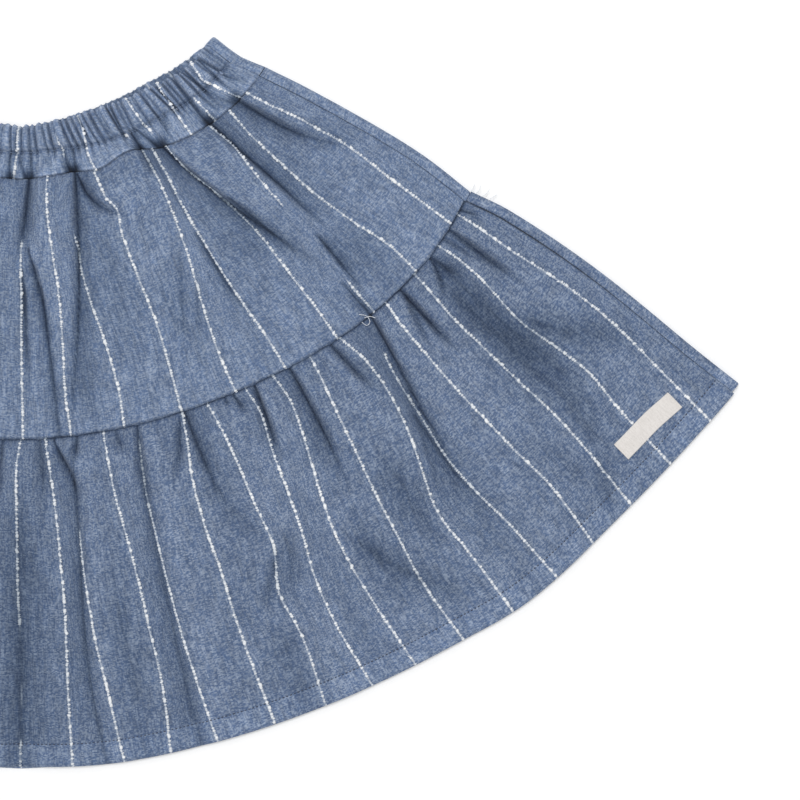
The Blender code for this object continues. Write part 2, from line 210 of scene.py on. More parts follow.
# %% Stripe tables
PITCH = 27.3 * MM
LOWER_STATIONS = (0.0, 0.014, 0.0315, 0.0565, 0.079, 0.1005, 0.1265, 0.163)
LOWER_STRIPES = [
    (0.1, -0.2, -0.3, -0.3, -0.2, 0.0, 0.1, 0.0), (2.7, 3.1, 3.4, 3.55, 3.65, 3.6, 3.5, 3.5),
    (6.0, 5.6, 5.5, 5.45, 5.6, 5.85, 6.35, 6.95), (9.0, 9.1, 9.2, 9.7, 10.0, 10.15, 10.35, 10.1),
    (12.8, 12.5, 12.2, 12.2, 12.3, 12.45, 12.75, 13.3), (17.7, 17.4, 16.8, 16.6, 16.8, 16.8, 16.95, 17.3),
    (20.6, 21.05, 21.3, 21.45, 21.6, 20.65, 21.1, 20.9),
    (25.0, 25.35, 24.9, 24.55, 24.2, 23.7, 23.7, 24.3), (28.2, 28.6, 28.2, 27.3, 26.7, 26.6, 26.9, 27.5),
    (32.7, 32.45, 32.0, 31.5, 31.1, 30.9, 30.7, 31.1), (36.4, 37.1, 37.2, 36.5, 35.4, 34.5, 34.75, 34.9),
    (40.0, 39.3, 38.55, 38.05, 37.7, 37.8, 38.3, 38.6), (42.6, 42.2, 42.1, 42.0, 42.1, 42.2, 42.4, 41.9),
    (46.9, 46.6, 46.3, 46.3, 46.3, 46.35, 46.1, 45.5),
    (50.8, 51.0, 50.8, 50.2, 50.45, 50.55, 49.85, 49.3),
    (54.7, 54.8, 54.8, 55.05, 55.0, 54.65, 54.0, 53.2),
]
UPPER_STATIONS = (0.0, 0.015, 0.0225, 0.035, 0.060, 0.085, 0.110, 0.130)
UPPER_STRIPES = [
    (0.8, 0.5, 0.4, 0.3, 0.2, 0.2, 0.3, 0.3), (5.8, 5.4, 5.4, 5.5, 5.8, 5.6, 5.3, 5.5),
    (10.9, 9.8, 9.5, 9.2, 9.9, 11.0, 11.5, 11.3), (15.6, 16.5, 17.8, 17.35, 17.7, 18.1, 17.9, 17.7),
    (26.5, 26.8, 26.8, 26.5, 25.6, 24.5, 23.9, 23.9), (28.4, 28.6, 28.5, 28.4, 28.7, 29.1, 29.7, 29.8),
    (31.2, 32.3, 33.2, 34.5, 35.9, 36.15, 36.3, 36.2), (40.5, 41.4, 41.35, 41.15, 41.1, 41.3, 41.0, 41.0),
    (45.4, 45.0, 45.0, 45.2, 45.5, 46.3, 47.3, 47.2), (50.2, 51.2, 51.9, 52.7, 53.6, 53.5, 53.5, 53.5),
]
BAND_STATIONS = (0.0, 0.012, 0.0135, 0.020, 0.0285)
BAND_STRIPES = [
    (-0.3, -0.5, -0.5, -0.9, -1.2), (9.4, 9.3, 9.9, 10.1, 10.6), (15.3, 15.7, 15.5, 15.4, 16.1),
    (22.6, 23.6, 24.2, 25.3, 26.1), (28.6, 29.2, 29.4, 30.1, 30.9), (37.5, 37.0, 36.9, 36.8, 36.7),
    (42.4, 42.3, 42.0, 42.0, 42.2), (47.2, 46.1, 46.5, 47.4, 49.0),
]


def stripe_angles(stripes, stations, distance):
    """Angles of all stripes at a distance below the seam, from the left side to the right."""
    right = [curve_through(stations, row[: len(stations)], distance) for row in stripes]
    k = np.arange(1, len(right))
    drift = 0.35 * np.sin(1.9 * k + 0.8 + 21.0 * distance)
    left = -np.array(right[1:]) + drift
    return np.concatenate([left[::-1], right])


print(len(LOWER_STRIPES) * 2 - 1, "stripes on the lower tier,", len(UPPER_STRIPES) * 2 - 1, "on the upper")

# %% [markdown]
# Where the cloth laps over itself, a stripe dives under the lap and comes out further down. These
# stretches are listed too, so that neither the woven stripe nor its yarn shows there.

# %% Hidden stretches
Hidden = namedtuple("Hidden", "stripe start end")  # distances below the seam
LOWER_HIDDEN = table(
    Hidden, (0, 0.097, 0.124), (0, 0.134, 0.150), (2, 0.0, 0.046), (4, 0.0, 0.008), (11, 0.0, 0.019),
    (-2, 0.0, 0.040),
)
UPPER_HIDDEN = table(
    Hidden, (0, 0.0, 0.031), (2, 0.0, 0.031), (7, 0.057, 0.108), (-2, 0.0, 0.029),
)
BAND_HIDDEN = table(
    Hidden, (1, 0.0, 0.008), (1, 0.0185, 0.030), (3, 0.0, 0.014), (3, 0.0185, 0.030), (4, 0.0195, 0.030),
    (6, 0.0, 0.0142), (-1, 0.0180, 0.030), (-3, 0.0, 0.013),
)


def stripes_shown(columns, distances, hidden):
    """1 where a grid's stripes show and 0 where they are hidden."""
    shown = np.ones((len(columns), len(distances)))
    for row in hidden:
        near = np.abs(columns - row.stripe * PITCH) < 4.0 * MM
        inside = (distances >= row.start) & (distances <= row.end)
        shown[np.ix_(near, inside)] = 0.0
    return shown


# %% [markdown]
# ## Folds
#
# Each fold is a valley that runs down from a seam. One of its walls is often steep, where the
# cloth laps over, and the other is a gentle slope. A row of the table gives the angle of its
# bottom line at its start, middle and end, the distances below the seam where it starts and
# ends, its depth as a share of the cloth's height there, the half widths of its left and right
# wall, and how far the steep wall leans over. Angles are in degrees, and lengths in mm.
#
# The cloth stands highest just below a seam, where it is crowded, so the height is a table too.
# Multiplying the height by what each fold leaves of it keeps the cloth above its ground.

# %% Fold tables
Fold = namedtuple("Fold", "start middle end top foot depth left right lean", defaults=(0.0,))
UPPER_FOLDS = table(
    Fold, (1.8, 0.7, -0.8, 0, 44, 0.95, 1.0, 3.4), (0.5, 0.7, 1.0, 46, 112, 0.85, 1.3, 1.3),
    (1.7, 3.3, 3.9, 36, 88, 0.90, 2.6, 1.2), (3.4, 4.1, 4.5, 56, 160, 0.80, 2.6, 1.2),
    (11.1, 7.8, 4.6, 0, 140, 1.00, 1.0, 6.0, 1.0), (12.0, 14.0, 20.2, 1, 30, 1.00, 1.8, 1.6),
    (20.6, 20.3, 20.0, 62, 100, 0.30, 4.0, 3.0), (24.4, 21.6, 19.0, 56, 112, 0.50, 2.2, 2.2),
    (25.2, 22.6, 20.6, 72, 120, 0.38, 2.2, 2.2), (26.2, 26.5, 26.7, 0, 18, 0.70, 1.2, 1.6),
    (27.8, 28.0, 28.2, 0, 56, 0.32, 1.5, 1.5), (28.3, 28.7, 29.4, 50, 108, 0.70, 2.0, 0.9),
    (30.6, 36.1, 41.0, 0, 102, 1.00, 5.6, 1.2), (35.6, 37.4, 38.9, 38, 86, 0.80, 3.0, 1.4),
    (41.0, 42.8, 43.5, 0, 98, 1.00, 1.1, 5.8), (41.9, 41.7, 41.4, 80, 122, 0.95, 0.9, 6.0),
    (40.4, 40.5, 40.5, 110, 160, 1.00, 2.4, 2.4), (48.2, 50.3, 53.6, 0, 62, 1.00, 4.6, 1.5),
    (52.6, 53.8, 54.6, 30, 76, 0.40, 3.0, 4.0), (7.4, 7.9, 8.6, 88, 130, 0.35, 5.0, 5.0),
    (33.0, 32.6, 32.3, 20, 110, 0.35, 5.0, 5.0), (14.6, 14.4, 14.0, 30, 120, 0.25, 6.0, 6.0),
    (45.2, 44.5, 44.0, 86, 150, 0.30, 5.0, 5.0),
)
LOWER_FOLDS = table(
    Fold, (-0.1, -0.1, 0.0, 12, 250, 1.00, 8.0, 8.0), (0.0, 0.1, 0.0, 86, 190, 0.24, 1.3, 1.3),
    (2.0, 2.3, 2.0, 0, 40, 0.65, 2.0, 2.0), (3.7, 5.5, 5.6, 1, 44, 0.95, 3.2, 0.9, -0.8),
    (5.6, 5.2, 7.6, 14, 230, 0.80, 5.2, 2.2), (6.2, 5.9, 5.7, 0, 14, 0.80, 1.4, 1.0),
    (10.2, 10.5, 10.9, 0, 16, 0.60, 1.4, 2.0), (12.8, 12.3, 12.1, 0, 60, 0.75, 2.4, 1.4, -0.6),
    (12.0, 12.1, 12.9, 20, 260, 0.74, 5.2, 2.9), (17.4, 16.2, 14.6, 2, 38, 0.75, 1.8, 1.4),
    (17.9, 18.3, 18.8, 0, 58, 0.85, 1.3, 3.4), (18.3, 19.6, 21.0, 36, 82, 0.35, 4.0, 4.0),
    (22.5, 22.5, 22.4, 0, 6, 0.70, 1.0, 1.0), (23.4, 23.7, 24.1, 0, 13, 0.80, 1.2, 1.5),
    (26.2, 25.7, 25.0, 0, 46, 1.00, 3.2, 0.9, -0.8), (30.4, 30.1, 29.4, 0, 76, 1.00, 4.8, 1.1, -0.8),
    (35.0, 35.6, 36.5, 0, 40, 0.90, 1.0, 3.2, 0.8), (40.8, 38.9, 37.4, 0, 98, 1.00, 6.2, 0.9, -1.5),
    (37.7, 37.5, 38.2, 54, 130, 0.55, 2.2, 1.3), (38.4, 36.4, 34.5, 42, 112, 0.35, 2.0, 6.5),
    (44.7, 44.5, 44.5, 0, 50, 1.00, 1.6, 1.2), (44.4, 43.3, 42.0, 6, 40, 0.70, 1.5, 1.5),
    (49.1, 48.0, 46.4, 1, 23, 0.95, 0.9, 5.0, 1.2), (48.0, 47.8, 47.6, 12, 134, 0.80, 6.0, 6.0),
    (49.3, 49.2, 49.2, 2, 130, 0.80, 6.0, 5.0), (49.3, 49.5, 49.9, 0, 24, 0.80, 1.4, 1.4),
    (51.6, 52.0, 52.4, 0, 28, 0.50, 1.4, 1.6), (52.9, 52.9, 53.1, 0, 56, 0.85, 2.2, 1.3),
    (55.2, 55.6, 55.9, 0, 12, 0.60, 1.0, 1.0), (21.6, 20.1, 18.4, 82, 112, 0.60, 2.4, 2.4),
    (23.2, 22.2, 21.2, 72, 120, 0.60, 6.0, 5.0), (28.8, 28.8, 29.0, 78, 150, 0.40, 5.0, 4.0),
    (27.4, 30.4, 34.4, 88, 158, 0.85, 5.5, 4.5), (33.4, 33.4, 33.2, 58, 124, 0.70, 7.0, 6.5),
    (36.8, 37.0, 37.3, 70, 160, 0.30, 6.0, 6.0), (50.2, 52.7, 55.8, 52, 122, 0.85, 6.5, 6.0),
    (48.8, 46.2, 42.0, 92, 180, 0.45, 4.5, 4.5), (43.6, 44.2, 44.6, 88, 190, 0.25, 7.0, 5.0),
    (7.8, 8.2, 8.8, 70, 190, 0.40, 6.0, 6.0), (20.0, 19.4, 19.0, 110, 190, 0.35, 6.0, 6.0),
)
Puff = namedtuple("Puff", "distance height")
UPPER_PUFF = table(
    Puff, (0.000, 0.0030), (0.004, 0.0044), (0.010, 0.0052), (0.022, 0.0052), (0.042, 0.0042),
    (0.067, 0.0032), (0.097, 0.0022), (0.130, 0.0012),
)
LOWER_PUFF = table(
    Puff, (0.000, 0.0006), (0.003, 0.0030), (0.010, 0.0045), (0.022, 0.0046), (0.040, 0.0040),
    (0.068, 0.0032), (0.100, 0.0024), (0.133, 0.0018), (0.165, 0.0014),
)
LEFT_SEED = 7


def whole_width(folds):
    """The right half's folds, and like ones on the left with their own places and sizes."""
    chance = np.random.default_rng(LEFT_SEED)
    left = []
    for fold in folds:
        if abs(fold.start) < 1.9:
            continue
        shift, scale, reach = chance.uniform(-0.6, 0.6), chance.uniform(0.75, 1.1), chance.uniform(0.8, 1.2)
        left.append(
            Fold(
                -fold.start + shift, -fold.middle + shift, -fold.end + shift, fold.top,
                fold.top + (fold.foot - fold.top) * reach, fold.depth * scale,
                fold.right, fold.left, -fold.lean,
            )
        )
    return list(folds) + left


LIP_EDGE, CREASE_WIDTH = 0.45 * MM, 1.3 * MM
VALLEY_SHADE, CREASE_SHADE = 0.60, 0.88


def fold_field(folds, angle, radius, distance):
    """One row's folds: what they leave of the height, their sideways lean, and their shade.

    The shade is deep in a valley, and deepest in the crease where two layers touch."""
    kept, lean, open_to_light = np.ones_like(angle), np.zeros_like(angle), np.ones_like(angle)
    for fold in folds:
        top, length = fold.top * MM, (fold.foot - fold.top) * MM
        share = (distance - top) / length
        if share < -0.02 or share > 1.0:
            continue
        centre = curve_through([0, 0.5, 1], [fold.start, fold.middle, fold.end], np.clip(share, 0, 1))
        strength = fold.depth * (1.0 - smooth((share - 0.45) / 0.55))
        if fold.top > 0:
            strength *= smooth(share / 0.2)
        arc = radius * np.radians(angle - centre)
        widen = 1.0 + 1.1 * max(share, 0.0)
        width = np.where(arc < 0, fold.left, fold.right) * MM * widen
        valley = np.exp(-np.abs(arc / width) ** 1.6)
        kept = kept * (1.0 - strength * valley)
        shadow = np.exp(-np.abs(arc / width) ** 1.2)
        sharp = min(1.0, 1.6 / min(fold.left, fold.right)) * fold.depth
        left_edge, right_edge = LIP_EDGE, CREASE_WIDTH
        if fold.left > fold.right:
            left_edge, right_edge = CREASE_WIDTH, LIP_EDGE
        crease = np.exp(-np.abs(arc / np.where(arc < 0, left_edge, right_edge)) ** 1.5)
        crease = crease * (1.0 - smooth((share - 0.40) / 0.60))
        open_to_light = open_to_light * (1.0 - VALLEY_SHADE * strength * shadow)
        open_to_light = open_to_light * (1.0 - CREASE_SHADE * sharp * crease)
        if fold.lean:
            lean = lean + fold.lean * MM * strength * np.exp(-((arc / (1.6 * MM)) ** 2))
    return kept, lean, open_to_light


for folds in (UPPER_FOLDS, LOWER_FOLDS):
    print(len(folds), "folds on a right half,", len(whole_width(folds)), "in all")

# %% [markdown]
# Real cloth is never quite calm between its folds. Three kinds of small unevenness are added:
# broad soft swells, soft folds that run down the cloth, and tiny puckers that the gathering
# thread leaves just below a seam.

# %% Small unevenness
def swell(angle, radius, size, seed):
    """Soft random swells between -1 and 1, about that size across."""
    chance = np.random.default_rng(seed)
    x = radius * np.sin(np.radians(angle)) / size
    y = radius * np.cos(np.radians(angle)) / size
    total = np.zeros_like(x)
    for _ in range(7):
        turn, phase, pace = chance.uniform(0, math.tau), chance.uniform(0, math.tau), chance.uniform(0.7, 1.5)
        total = total + np.sin(math.pi * pace * (x * math.cos(turn) + y * math.sin(turn)) + phase)
    return total / 4.0


def drape(angle, distance, seed, per_degree=0.13):
    """Soft folds that run down the cloth, between -1 and 1: uneven, drifting and fading in places."""
    chance = np.random.default_rng(seed)
    total = np.zeros_like(angle)
    for pace in (0.55, 0.8, 1.0, 1.35, 1.8, 2.3):
        phase, drift, beat = chance.uniform(0, math.tau), chance.uniform(-9, 9), chance.uniform(12, 34)
        rate = math.tau * per_degree * pace
        swing = 0.6 + 0.4 * np.sin(beat * distance + 2.7 * phase + 0.07 * rate * angle)
        total = total + swing * np.sin(rate * angle + drift * distance + phase) / pace**0.5
    return total / 3.2


def puckers(angle, seed, per_degree=0.5):
    """Uneven ripples across a seam, between 0 (bottom) and 1 (top)."""
    chance = np.random.default_rng(seed)
    total = np.zeros_like(angle)
    for pace in (0.6, 0.83, 1.17, 1.5):
        total = total + np.sin(math.tau * per_degree * pace * angle + chance.uniform(0, math.tau))
    return 0.5 + total / 8.0


# %% [markdown]
# ## Laying out a piece of cloth
#
# The cloth can't stretch, so where it dips into a fold it needs more length. For each row the
# folded line is sampled finely and its length is measured from one stripe to the next. The
# mesh's columns are then set at even lengths of cloth, so a steep wall gets as many of them as a
# flat stretch does, and the UV map holds true distances on the cut cloth.

# %% Rows and columns of a piece
Tier = namedtuple("Tier", "form puff folds stations stripes ground seed")
UPPER = Tier(
    Form(BAND_SEAM, TIER_SEAM, UPPER_SIDE), UPPER_PUFF, whole_width(UPPER_FOLDS), UPPER_STATIONS,
    UPPER_STRIPES, 3.1 * MM, 11,
)
LOWER = Tier(
    Form(TIER_SEAM, HEM, LOWER_SIDE), LOWER_PUFF, whole_width(LOWER_FOLDS), LOWER_STATIONS,
    LOWER_STRIPES, 3.0 * MM, 23,
)
SIDE_HEIGHT = 4.2 * MM  # the top of the folded side, at the side seam
SIDE_CALM = 14.0 * MM
SeamMark = namedtuple("SeamMark", "radius strength")
SIDE_SEAM = table(  # how strongly the side seam shows: it lies open below the tier seam
    SeamMark, (0.110, 0.05), (0.147, 0.10), (0.160, 0.34), (0.200, 0.24), (0.262, 0.16), (0.275, 0.85),
    (0.300, 1.00), (0.330, 0.75), (0.370, 0.25), (0.433, 0.12),
)
SEAM_GROOVE, SEAM_WIDTH, SEAM_SHADE = 1.0 * MM, 0.8 * MM, 0.5
FINE_SAMPLES = 6000
SWELL_SIZE, SWELL_HEIGHT = 30.0 * MM, 0.16  # heights are shares of the puff under the seam
CRUMPLE_SIZE, CRUMPLE_HEIGHT, CRUMPLE_SHADE = 12.0 * MM, 0.10, 0.060
DRAPE_HEIGHT, DRAPE_SHADE = 0.28, 0.150
PUCKER_REACH, PUCKER_HEIGHT, PUCKER_SHADE = 9.0 * MM, 0.5, 0.30


def tier_height(tier, angle, share):
    """Height of a front tier's top face along a row, its sideways lean, and its painted light and shade."""
    distance = share * depth_of(tier.form)
    radius = radius_at(tier.form, angle, share)
    kept, lean, light = fold_field(tier.folds, angle, radius, distance)
    limit = half_angle(tier.form, share, SEAM_INSET)
    from_side = radius * np.radians(limit - np.abs(angle))
    calm = smooth(from_side / SIDE_CALM)
    puff = along(tier.puff, distance)
    folds = drape(angle, distance, tier.seed + 3)
    crumple = swell(angle, radius, CRUMPLE_SIZE, tier.seed + 1)
    swells = SWELL_HEIGHT * swell(angle, radius, SWELL_SIZE, tier.seed)
    swells = swells + CRUMPLE_HEIGHT * crumple + DRAPE_HEIGHT * folds
    pucker = (1.0 - puckers(angle, tier.seed + 2)) * math.exp(-max(distance, 0.0) / PUCKER_REACH)
    height = puff * kept * (1.0 - PUCKER_HEIGHT * pucker) * (1.0 + swells) * calm
    height = height + mix(SIDE_HEIGHT, tier.ground, calm)
    seam = along(SIDE_SEAM, radius) * bell(from_side, SEAM_WIDTH)
    # Painted light and shade: lighter and darker along the drape and crumple, darker in the puckers under the
    # seam and in the side seam.
    tone = light * (1.0 + calm * (DRAPE_SHADE * folds + CRUMPLE_SHADE * crumple))
    tone = tone * (1.0 - PUCKER_SHADE * pucker)
    return height - SEAM_GROOVE * seam, lean * calm, tone * (1.0 - SEAM_SHADE * seam)


def lay_rows(columns, shares, heights, stripes, radii, limit_at):
    """Sets columns at even lengths of cloth. Returns angle, height, lean, painted light and radius.

    heights(angle, share) gives the height, lean and painted light along a row, stripes(share) the angles of
    its stripes, radii(angle, share) the radius and limit_at(share) the angle where the row ends."""
    found = []
    for share in shares:
        limit = limit_at(share)
        angle = np.linspace(-limit, limit, FINE_SAMPLES)
        height, lean, tone = heights(angle, share)
        radius = radii(angle, share)
        arc = radius * np.radians(angle) + lean
        step = np.hypot(np.diff(arc), np.diff(height))
        length = np.concatenate([[0.0], np.cumsum(step)])
        marks = stripes(share)
        half = len(marks) // 2
        knots = np.concatenate([[-limit], marks, [limit]])
        cloth = np.concatenate([[columns[0]], PITCH * np.arange(-half, half + 1), [columns[-1]]])
        at_knots = np.interp(knots, angle, length)
        place_on_cloth = np.interp(length, at_knots, cloth)
        at = np.interp(columns, place_on_cloth, angle)
        read = [np.interp(at, angle, values) for values in (height, lean, tone)]
        found.append((at, *read, radii(at, share)))
    return [np.array(rows).T for rows in zip(*found)]


def spaced(marks, steps):
    """Distances from the first mark to the last, with a step of its own between each two."""
    rows = [marks[0]]
    for start, end, step in zip(marks, marks[1:], steps):
        rows += list(np.linspace(start, end, max(1, round((end - start) / step)) + 1)[1:])
    return np.array(rows)


# %% Cloth meshes
THICKNESS = 0.5 * MM


def shown_object(name, data):
    piece = bpy.data.objects.new(name, data)
    bpy.context.scene.collection.objects.link(piece)
    return piece


def keep_values(mesh, name, values):
    """Keeps a value at each of a mesh's points, for a material to read."""
    layer = mesh.attributes.new(name, "FLOAT", "POINT")
    layer.data.foreach_set("value", values.astype(np.float32).ravel())


def grid_faces(points):
    columns, rows = points.shape[:2]
    index = np.arange(columns * rows).reshape(columns, rows)
    corners = [index[:-1, :-1], index[:-1, 1:], index[1:, 1:], index[1:, :-1]]
    return np.stack(corners, axis=-1).reshape(-1, 4)


def grid_mesh(name, points, cloth, up=True, tone=None, striped=None, thickness=THICKNESS):
    """A sheet from a grid of points, column by column, with the place on the cut cloth as UV.

    How much of the light reaches each point is kept for the material to read, which paints it into the colour
    as shade and light."""
    faces = grid_faces(points) if up else grid_faces(points)[:, ::-1]
    mesh = bpy.data.meshes.new(name)
    mesh.from_pydata(points.reshape(-1, 3), [], faces)
    layer = mesh.uv_layers.new(name="cloth")
    layer.data.foreach_set("uv", cloth.reshape(-1, 2)[faces.ravel()].astype(np.float32).ravel())
    keep_values(mesh, "tone", np.ones(points.shape[:2]) if tone is None else tone)
    keep_values(mesh, "striped", np.ones(points.shape[:2]) if striped is None else striped)
    mesh.shade_smooth()
    sheet = shown_object(name, mesh)
    solid = sheet.modifiers.new("thickness", "SOLIDIFY")
    solid.thickness = thickness
    solid.offset = -1.0
    print(name, "has", points.shape[0], "x", points.shape[1], "points")
    return sheet


def cloth_places(columns, distances):
    return np.stack(np.meshgrid(columns, distances, indexing="ij"), axis=-1)


# %% [markdown]
# ## The front tiers
#
# The upper tier is lifted a little along its lower edge by the seam allowances pressed up under it, and then
# turns down sharply. The lower tier starts just under that edge. The small step and the gap beneath it make
# the crisp dark seam line, and painted shade along the seam darkens it further.

# %% Front tiers
EDGE_ROUND = 1.1 * MM
HEM_DEPTH = 11.0 * MM
HEM_LIFT = 0.45 * MM
UPPER_DEPTH, LOWER_DEPTH = 130.0 * MM, 163.0 * MM  # at the centre line
Laid = namedtuple("Laid", "points cloth tone striped columns rows")
laid_pieces = {}


def painted_seam_shade(distance, depth, at_foot):
    """Painted shade close to the tier seam, where the two tiers meet in a narrow crevice."""
    from_seam = np.abs(depth - distance) if at_foot else np.maximum(distance, 0.0)
    strength, reach = (0.45, 0.4 * MM) if at_foot else (0.80, 0.75 * MM)
    return 1.0 - strength * bell(from_seam, reach)


def seam_edge(angle, from_foot):
    """Change of height near a tier's sewn foot: a low ridge, and then the edge turned down."""
    ridge = 0.35 * MM * bell(from_foot - 2.2 * MM, 2.0 * MM)
    return ridge - 1.1 * MM * (1.0 - smooth(from_foot / EDGE_ROUND)) + 0 * angle


def hem_form(angle, from_foot):
    """Change of height in the hem: the second layer, its stitched line, and the folded edge."""
    lift = HEM_LIFT * smooth((HEM_DEPTH + 0.6 * MM - from_foot) / (1.2 * MM))
    line = 0.45 * MM * bell(from_foot - HEM_DEPTH, 0.7 * MM)
    ripple = 0.25 * MM * (puckers(angle, 5, 1.1) - 0.5) * bell(from_foot - HEM_DEPTH, 3.0 * MM)
    turned = 0.7 * MM * (1.0 - smooth(from_foot / (0.9 * MM)))
    return lift - line + ripple - turned


def front_tier(tier, rows, columns, extra, hidden, at_foot):
    """A front tier: rows at distances below its seam, columns on its cut width."""
    depth = depth_of(tier.form)
    shares = rows / depth
    angle, height, lean, tone, radius = lay_rows(
        columns, shares,
        lambda angle, share: tier_height(tier, angle, share),
        lambda share: stripe_angles(tier.stripes, tier.stations, share * depth),
        lambda angle, share: radius_at(tier.form, angle, share),
        lambda share: half_angle(tier.form, share, FRONT_INSET),
    )
    height = height + np.stack([extra(angle[:, j], (1.0 - s) * depth) for j, s in enumerate(shares)], axis=1)
    points = place(angle + np.degrees(lean / radius), radius, height)
    tone = tone * painted_seam_shade(rows, depth, at_foot)
    striped = stripes_shown(columns, rows, hidden)
    return Laid(points, cloth_places(columns, rows), tone, striped, columns, rows)


def even_columns(half_width, step):
    """Columns over the cut width that fall on every stripe."""
    per_pitch = max(1, round(PITCH / step))
    fine = PITCH / per_pitch
    count = int(half_width / fine)
    inner = fine * np.arange(-count, count + 1)
    ends = [] if half_width - inner[-1] < 0.3 * fine else [half_width]
    return np.concatenate([[-e for e in ends], inner, ends])


UPPER_HALF_CUT = 9 * PITCH + 18.0 * MM
LOWER_HALF_CUT = 15 * PITCH + 18.0 * MM
upper_rows = spaced(
    (0.0, 0.012, 0.060, 0.124, 0.1288, 0.130), (0.0012, 0.0018, 0.0036, 0.0012, 0.0004)
)
lower_rows = spaced(
    (-0.0012, 0.0, 0.0016, 0.012, 0.050, 0.149, 0.1612, 0.163),
    (0.0012, 0.0004, 0.0013, 0.0026, 0.0048, 0.0018, 0.0006),
)
laid_pieces["upper_tier", "front"] = front_tier(
    UPPER, upper_rows, even_columns(UPPER_HALF_CUT, 1.05 * MM), seam_edge, UPPER_HIDDEN, True
)
laid_pieces["lower_tier", "front"] = front_tier(
    LOWER, lower_rows, even_columns(LOWER_HALF_CUT, 1.19 * MM), hem_form, LOWER_HIDDEN, False
)
print("rows on the upper tier:", len(upper_rows), "and on the lower:", len(lower_rows))

# %% [markdown]
# ## The waistband
#
# The band is a strip of the same cloth, doubled over. A flat elastic in its upper half gathers
# it into fine ridges, up to a row of stitching, and the lower half is left softer. The ridges
# here are worked out one by one: an uneven row of narrow grooves, each with its own depth and
# slant. The lower half has a few creases that run into the tier's own pinches.

# %% The grooves and creases of the waistband
FRONT_BAND = Form(FRONT_WAIST, BAND_SEAM, BAND_SIDE)
BAND_DEPTH = depth_of(FRONT_BAND)
BAND_GROUND = 3.5 * MM
CHANNEL = 0.53  # share of the band's depth that the elastic takes
GROOVES_PER_HALF = 34
DOME_BASE, DOME_HEIGHT = 0.3 * MM, 4.2 * MM  # the domed cloth over the elastic, above its ground
RIDGE_HEIGHT, RIDGE_MIDDLE = 2.1 * MM, 0.6
# Painted light on the ridges, and painted shade in the grooves and along their lines.
RIDGE_LIGHT, GROOVE_SHADE, GROOVE_LINE_SHADE = 1.22, 0.56, 0.66
CROWN_HEIGHT = 1.5 * MM  # of the soft lower half
PINCH_SHADE = 1.3 / MM
CALM_FROM, CALM_OVER = 1.6, 3.0  # degrees in from the side where the grooves begin, and grow
BAND_HALF_CUT = 7 * PITCH + 26.0 * MM
BAND_FOLDS = table(
    Fold, (-0.8, 0.8, 2.2, 12, 38, 0.60, 1.2, 1.2), (2.5, 2.4, 2.2, 13, 38, 0.65, 1.2, 1.2),
    (10.1, 10.5, 11.2, 13, 38, 0.70, 1.2, 1.4), (12.5, 11.9, 11.2, 11, 38, 0.65, 1.2, 1.2),
    (4.2, 6.0, 7.4, 13, 27, 0.40, 1.4, 1.4), (25.8, 26.3, 26.3, 13, 38, 1.00, 1.6, 1.6),
    (27.0, 29.4, 31.4, 13, 38, 0.85, 1.4, 1.6), (34.2, 32.8, 31.4, 13, 28, 0.45, 1.4, 1.6),
    (40.6, 40.6, 41.2, 14, 38, 0.75, 1.2, 1.4), (43.2, 43.8, 44.4, 15, 30, 0.50, 1.0, 1.2),
    (45.0, 46.2, 47.6, 15, 32, 0.45, 1.2, 1.2), (49.8, 50.8, 52.0, 15, 26, 0.50, 1.2, 1.2),
)
Pinch = namedtuple("Pinch", "angle depth size")  # degrees, and mm
PINCHES = table(
    Pinch, (2.0, 1.9, 2.7), (11.2, 2.3, 3.2), (26.3, 1.8, 2.6), (30.5, 2.3, 3.4), (41.1, 2.3, 3.2),
    (47.9, 1.8, 3.4),
)
Groove = namedtuple("Groove", "top foot depth width")  # degrees at the top and at the stitching


def groove_slant(angle):
    """How far a groove leans outwards, in degrees: most at two places on each half of the band."""
    lean = 1.7 * bell(abs(angle) - 15.0, 9.0) - 1.1 * bell(abs(angle) - 34.0, 4.5)
    return math.copysign(lean, angle)


def groove_rows(seed):
    """The elastic's grooves, unevenly spaced."""
    chance = np.random.default_rng(seed)
    limit = BAND_SIDE[0].degrees - 3.5
    count = 2 * GROOVES_PER_HALF
    places = np.linspace(-limit, limit, count) + chance.uniform(-0.42, 0.42, count)
    rows = []
    for a in places:
        foot = a + groove_slant(a) + chance.uniform(-0.5, 0.5)
        rows.append(Groove(a, foot, chance.uniform(0.45, 1.0), chance.uniform(0.50, 1.05) * MM))
    return rows


DEEP_GROOVES = [
    Groove(41.3, 40.8, 0.9, 0.9 * MM), Groove(44.0, 44.9, 0.9, 0.8 * MM), Groove(48.9, 50.2, 1.0, 0.9 * MM)
]
GROOVES = groove_rows(3) + DEEP_GROOVES + [Groove(-g.top, -g.foot, g.depth, g.width) for g in DEEP_GROOVES]
BACK_GROOVES = groove_rows(8)
band_folds = whole_width(BAND_FOLDS)
pinches = PINCHES + [Pinch(-p.angle, 0.9 * p.depth, p.size) for p in PINCHES]
print(len(GROOVES), "grooves,", len(band_folds), "creases and", len(pinches), "pinches on the band's front")


# %% The front of the waistband
def band_radius(angle, share):
    """Radius on the front band: evenly spaced down to the elastic's edge, and then to the seam."""
    across = np.clip(np.abs(angle) / along(BAND_SIDE, share), 0.0, 1.0)
    edge = along(ELASTIC_EDGE, across)
    if share < CHANNEL:
        return mix(along(FRONT_WAIST, across), edge, min(share / CHANNEL, 1.0))
    return mix(edge, along(BAND_SEAM, across), max(share - CHANNEL, 0.0) / (1 - CHANNEL))


def pinch_dip(angle, radius, from_seam):
    """How far the pinches pull the cloth down, at a distance from the band's seam."""
    dip = np.zeros_like(angle)
    for pinch in pinches:
        arc = radius * np.radians(angle - pinch.angle)
        dip = dip + pinch.depth * MM * np.exp(-(arc**2 + from_seam**2) / (pinch.size * MM) ** 2)
    return dip


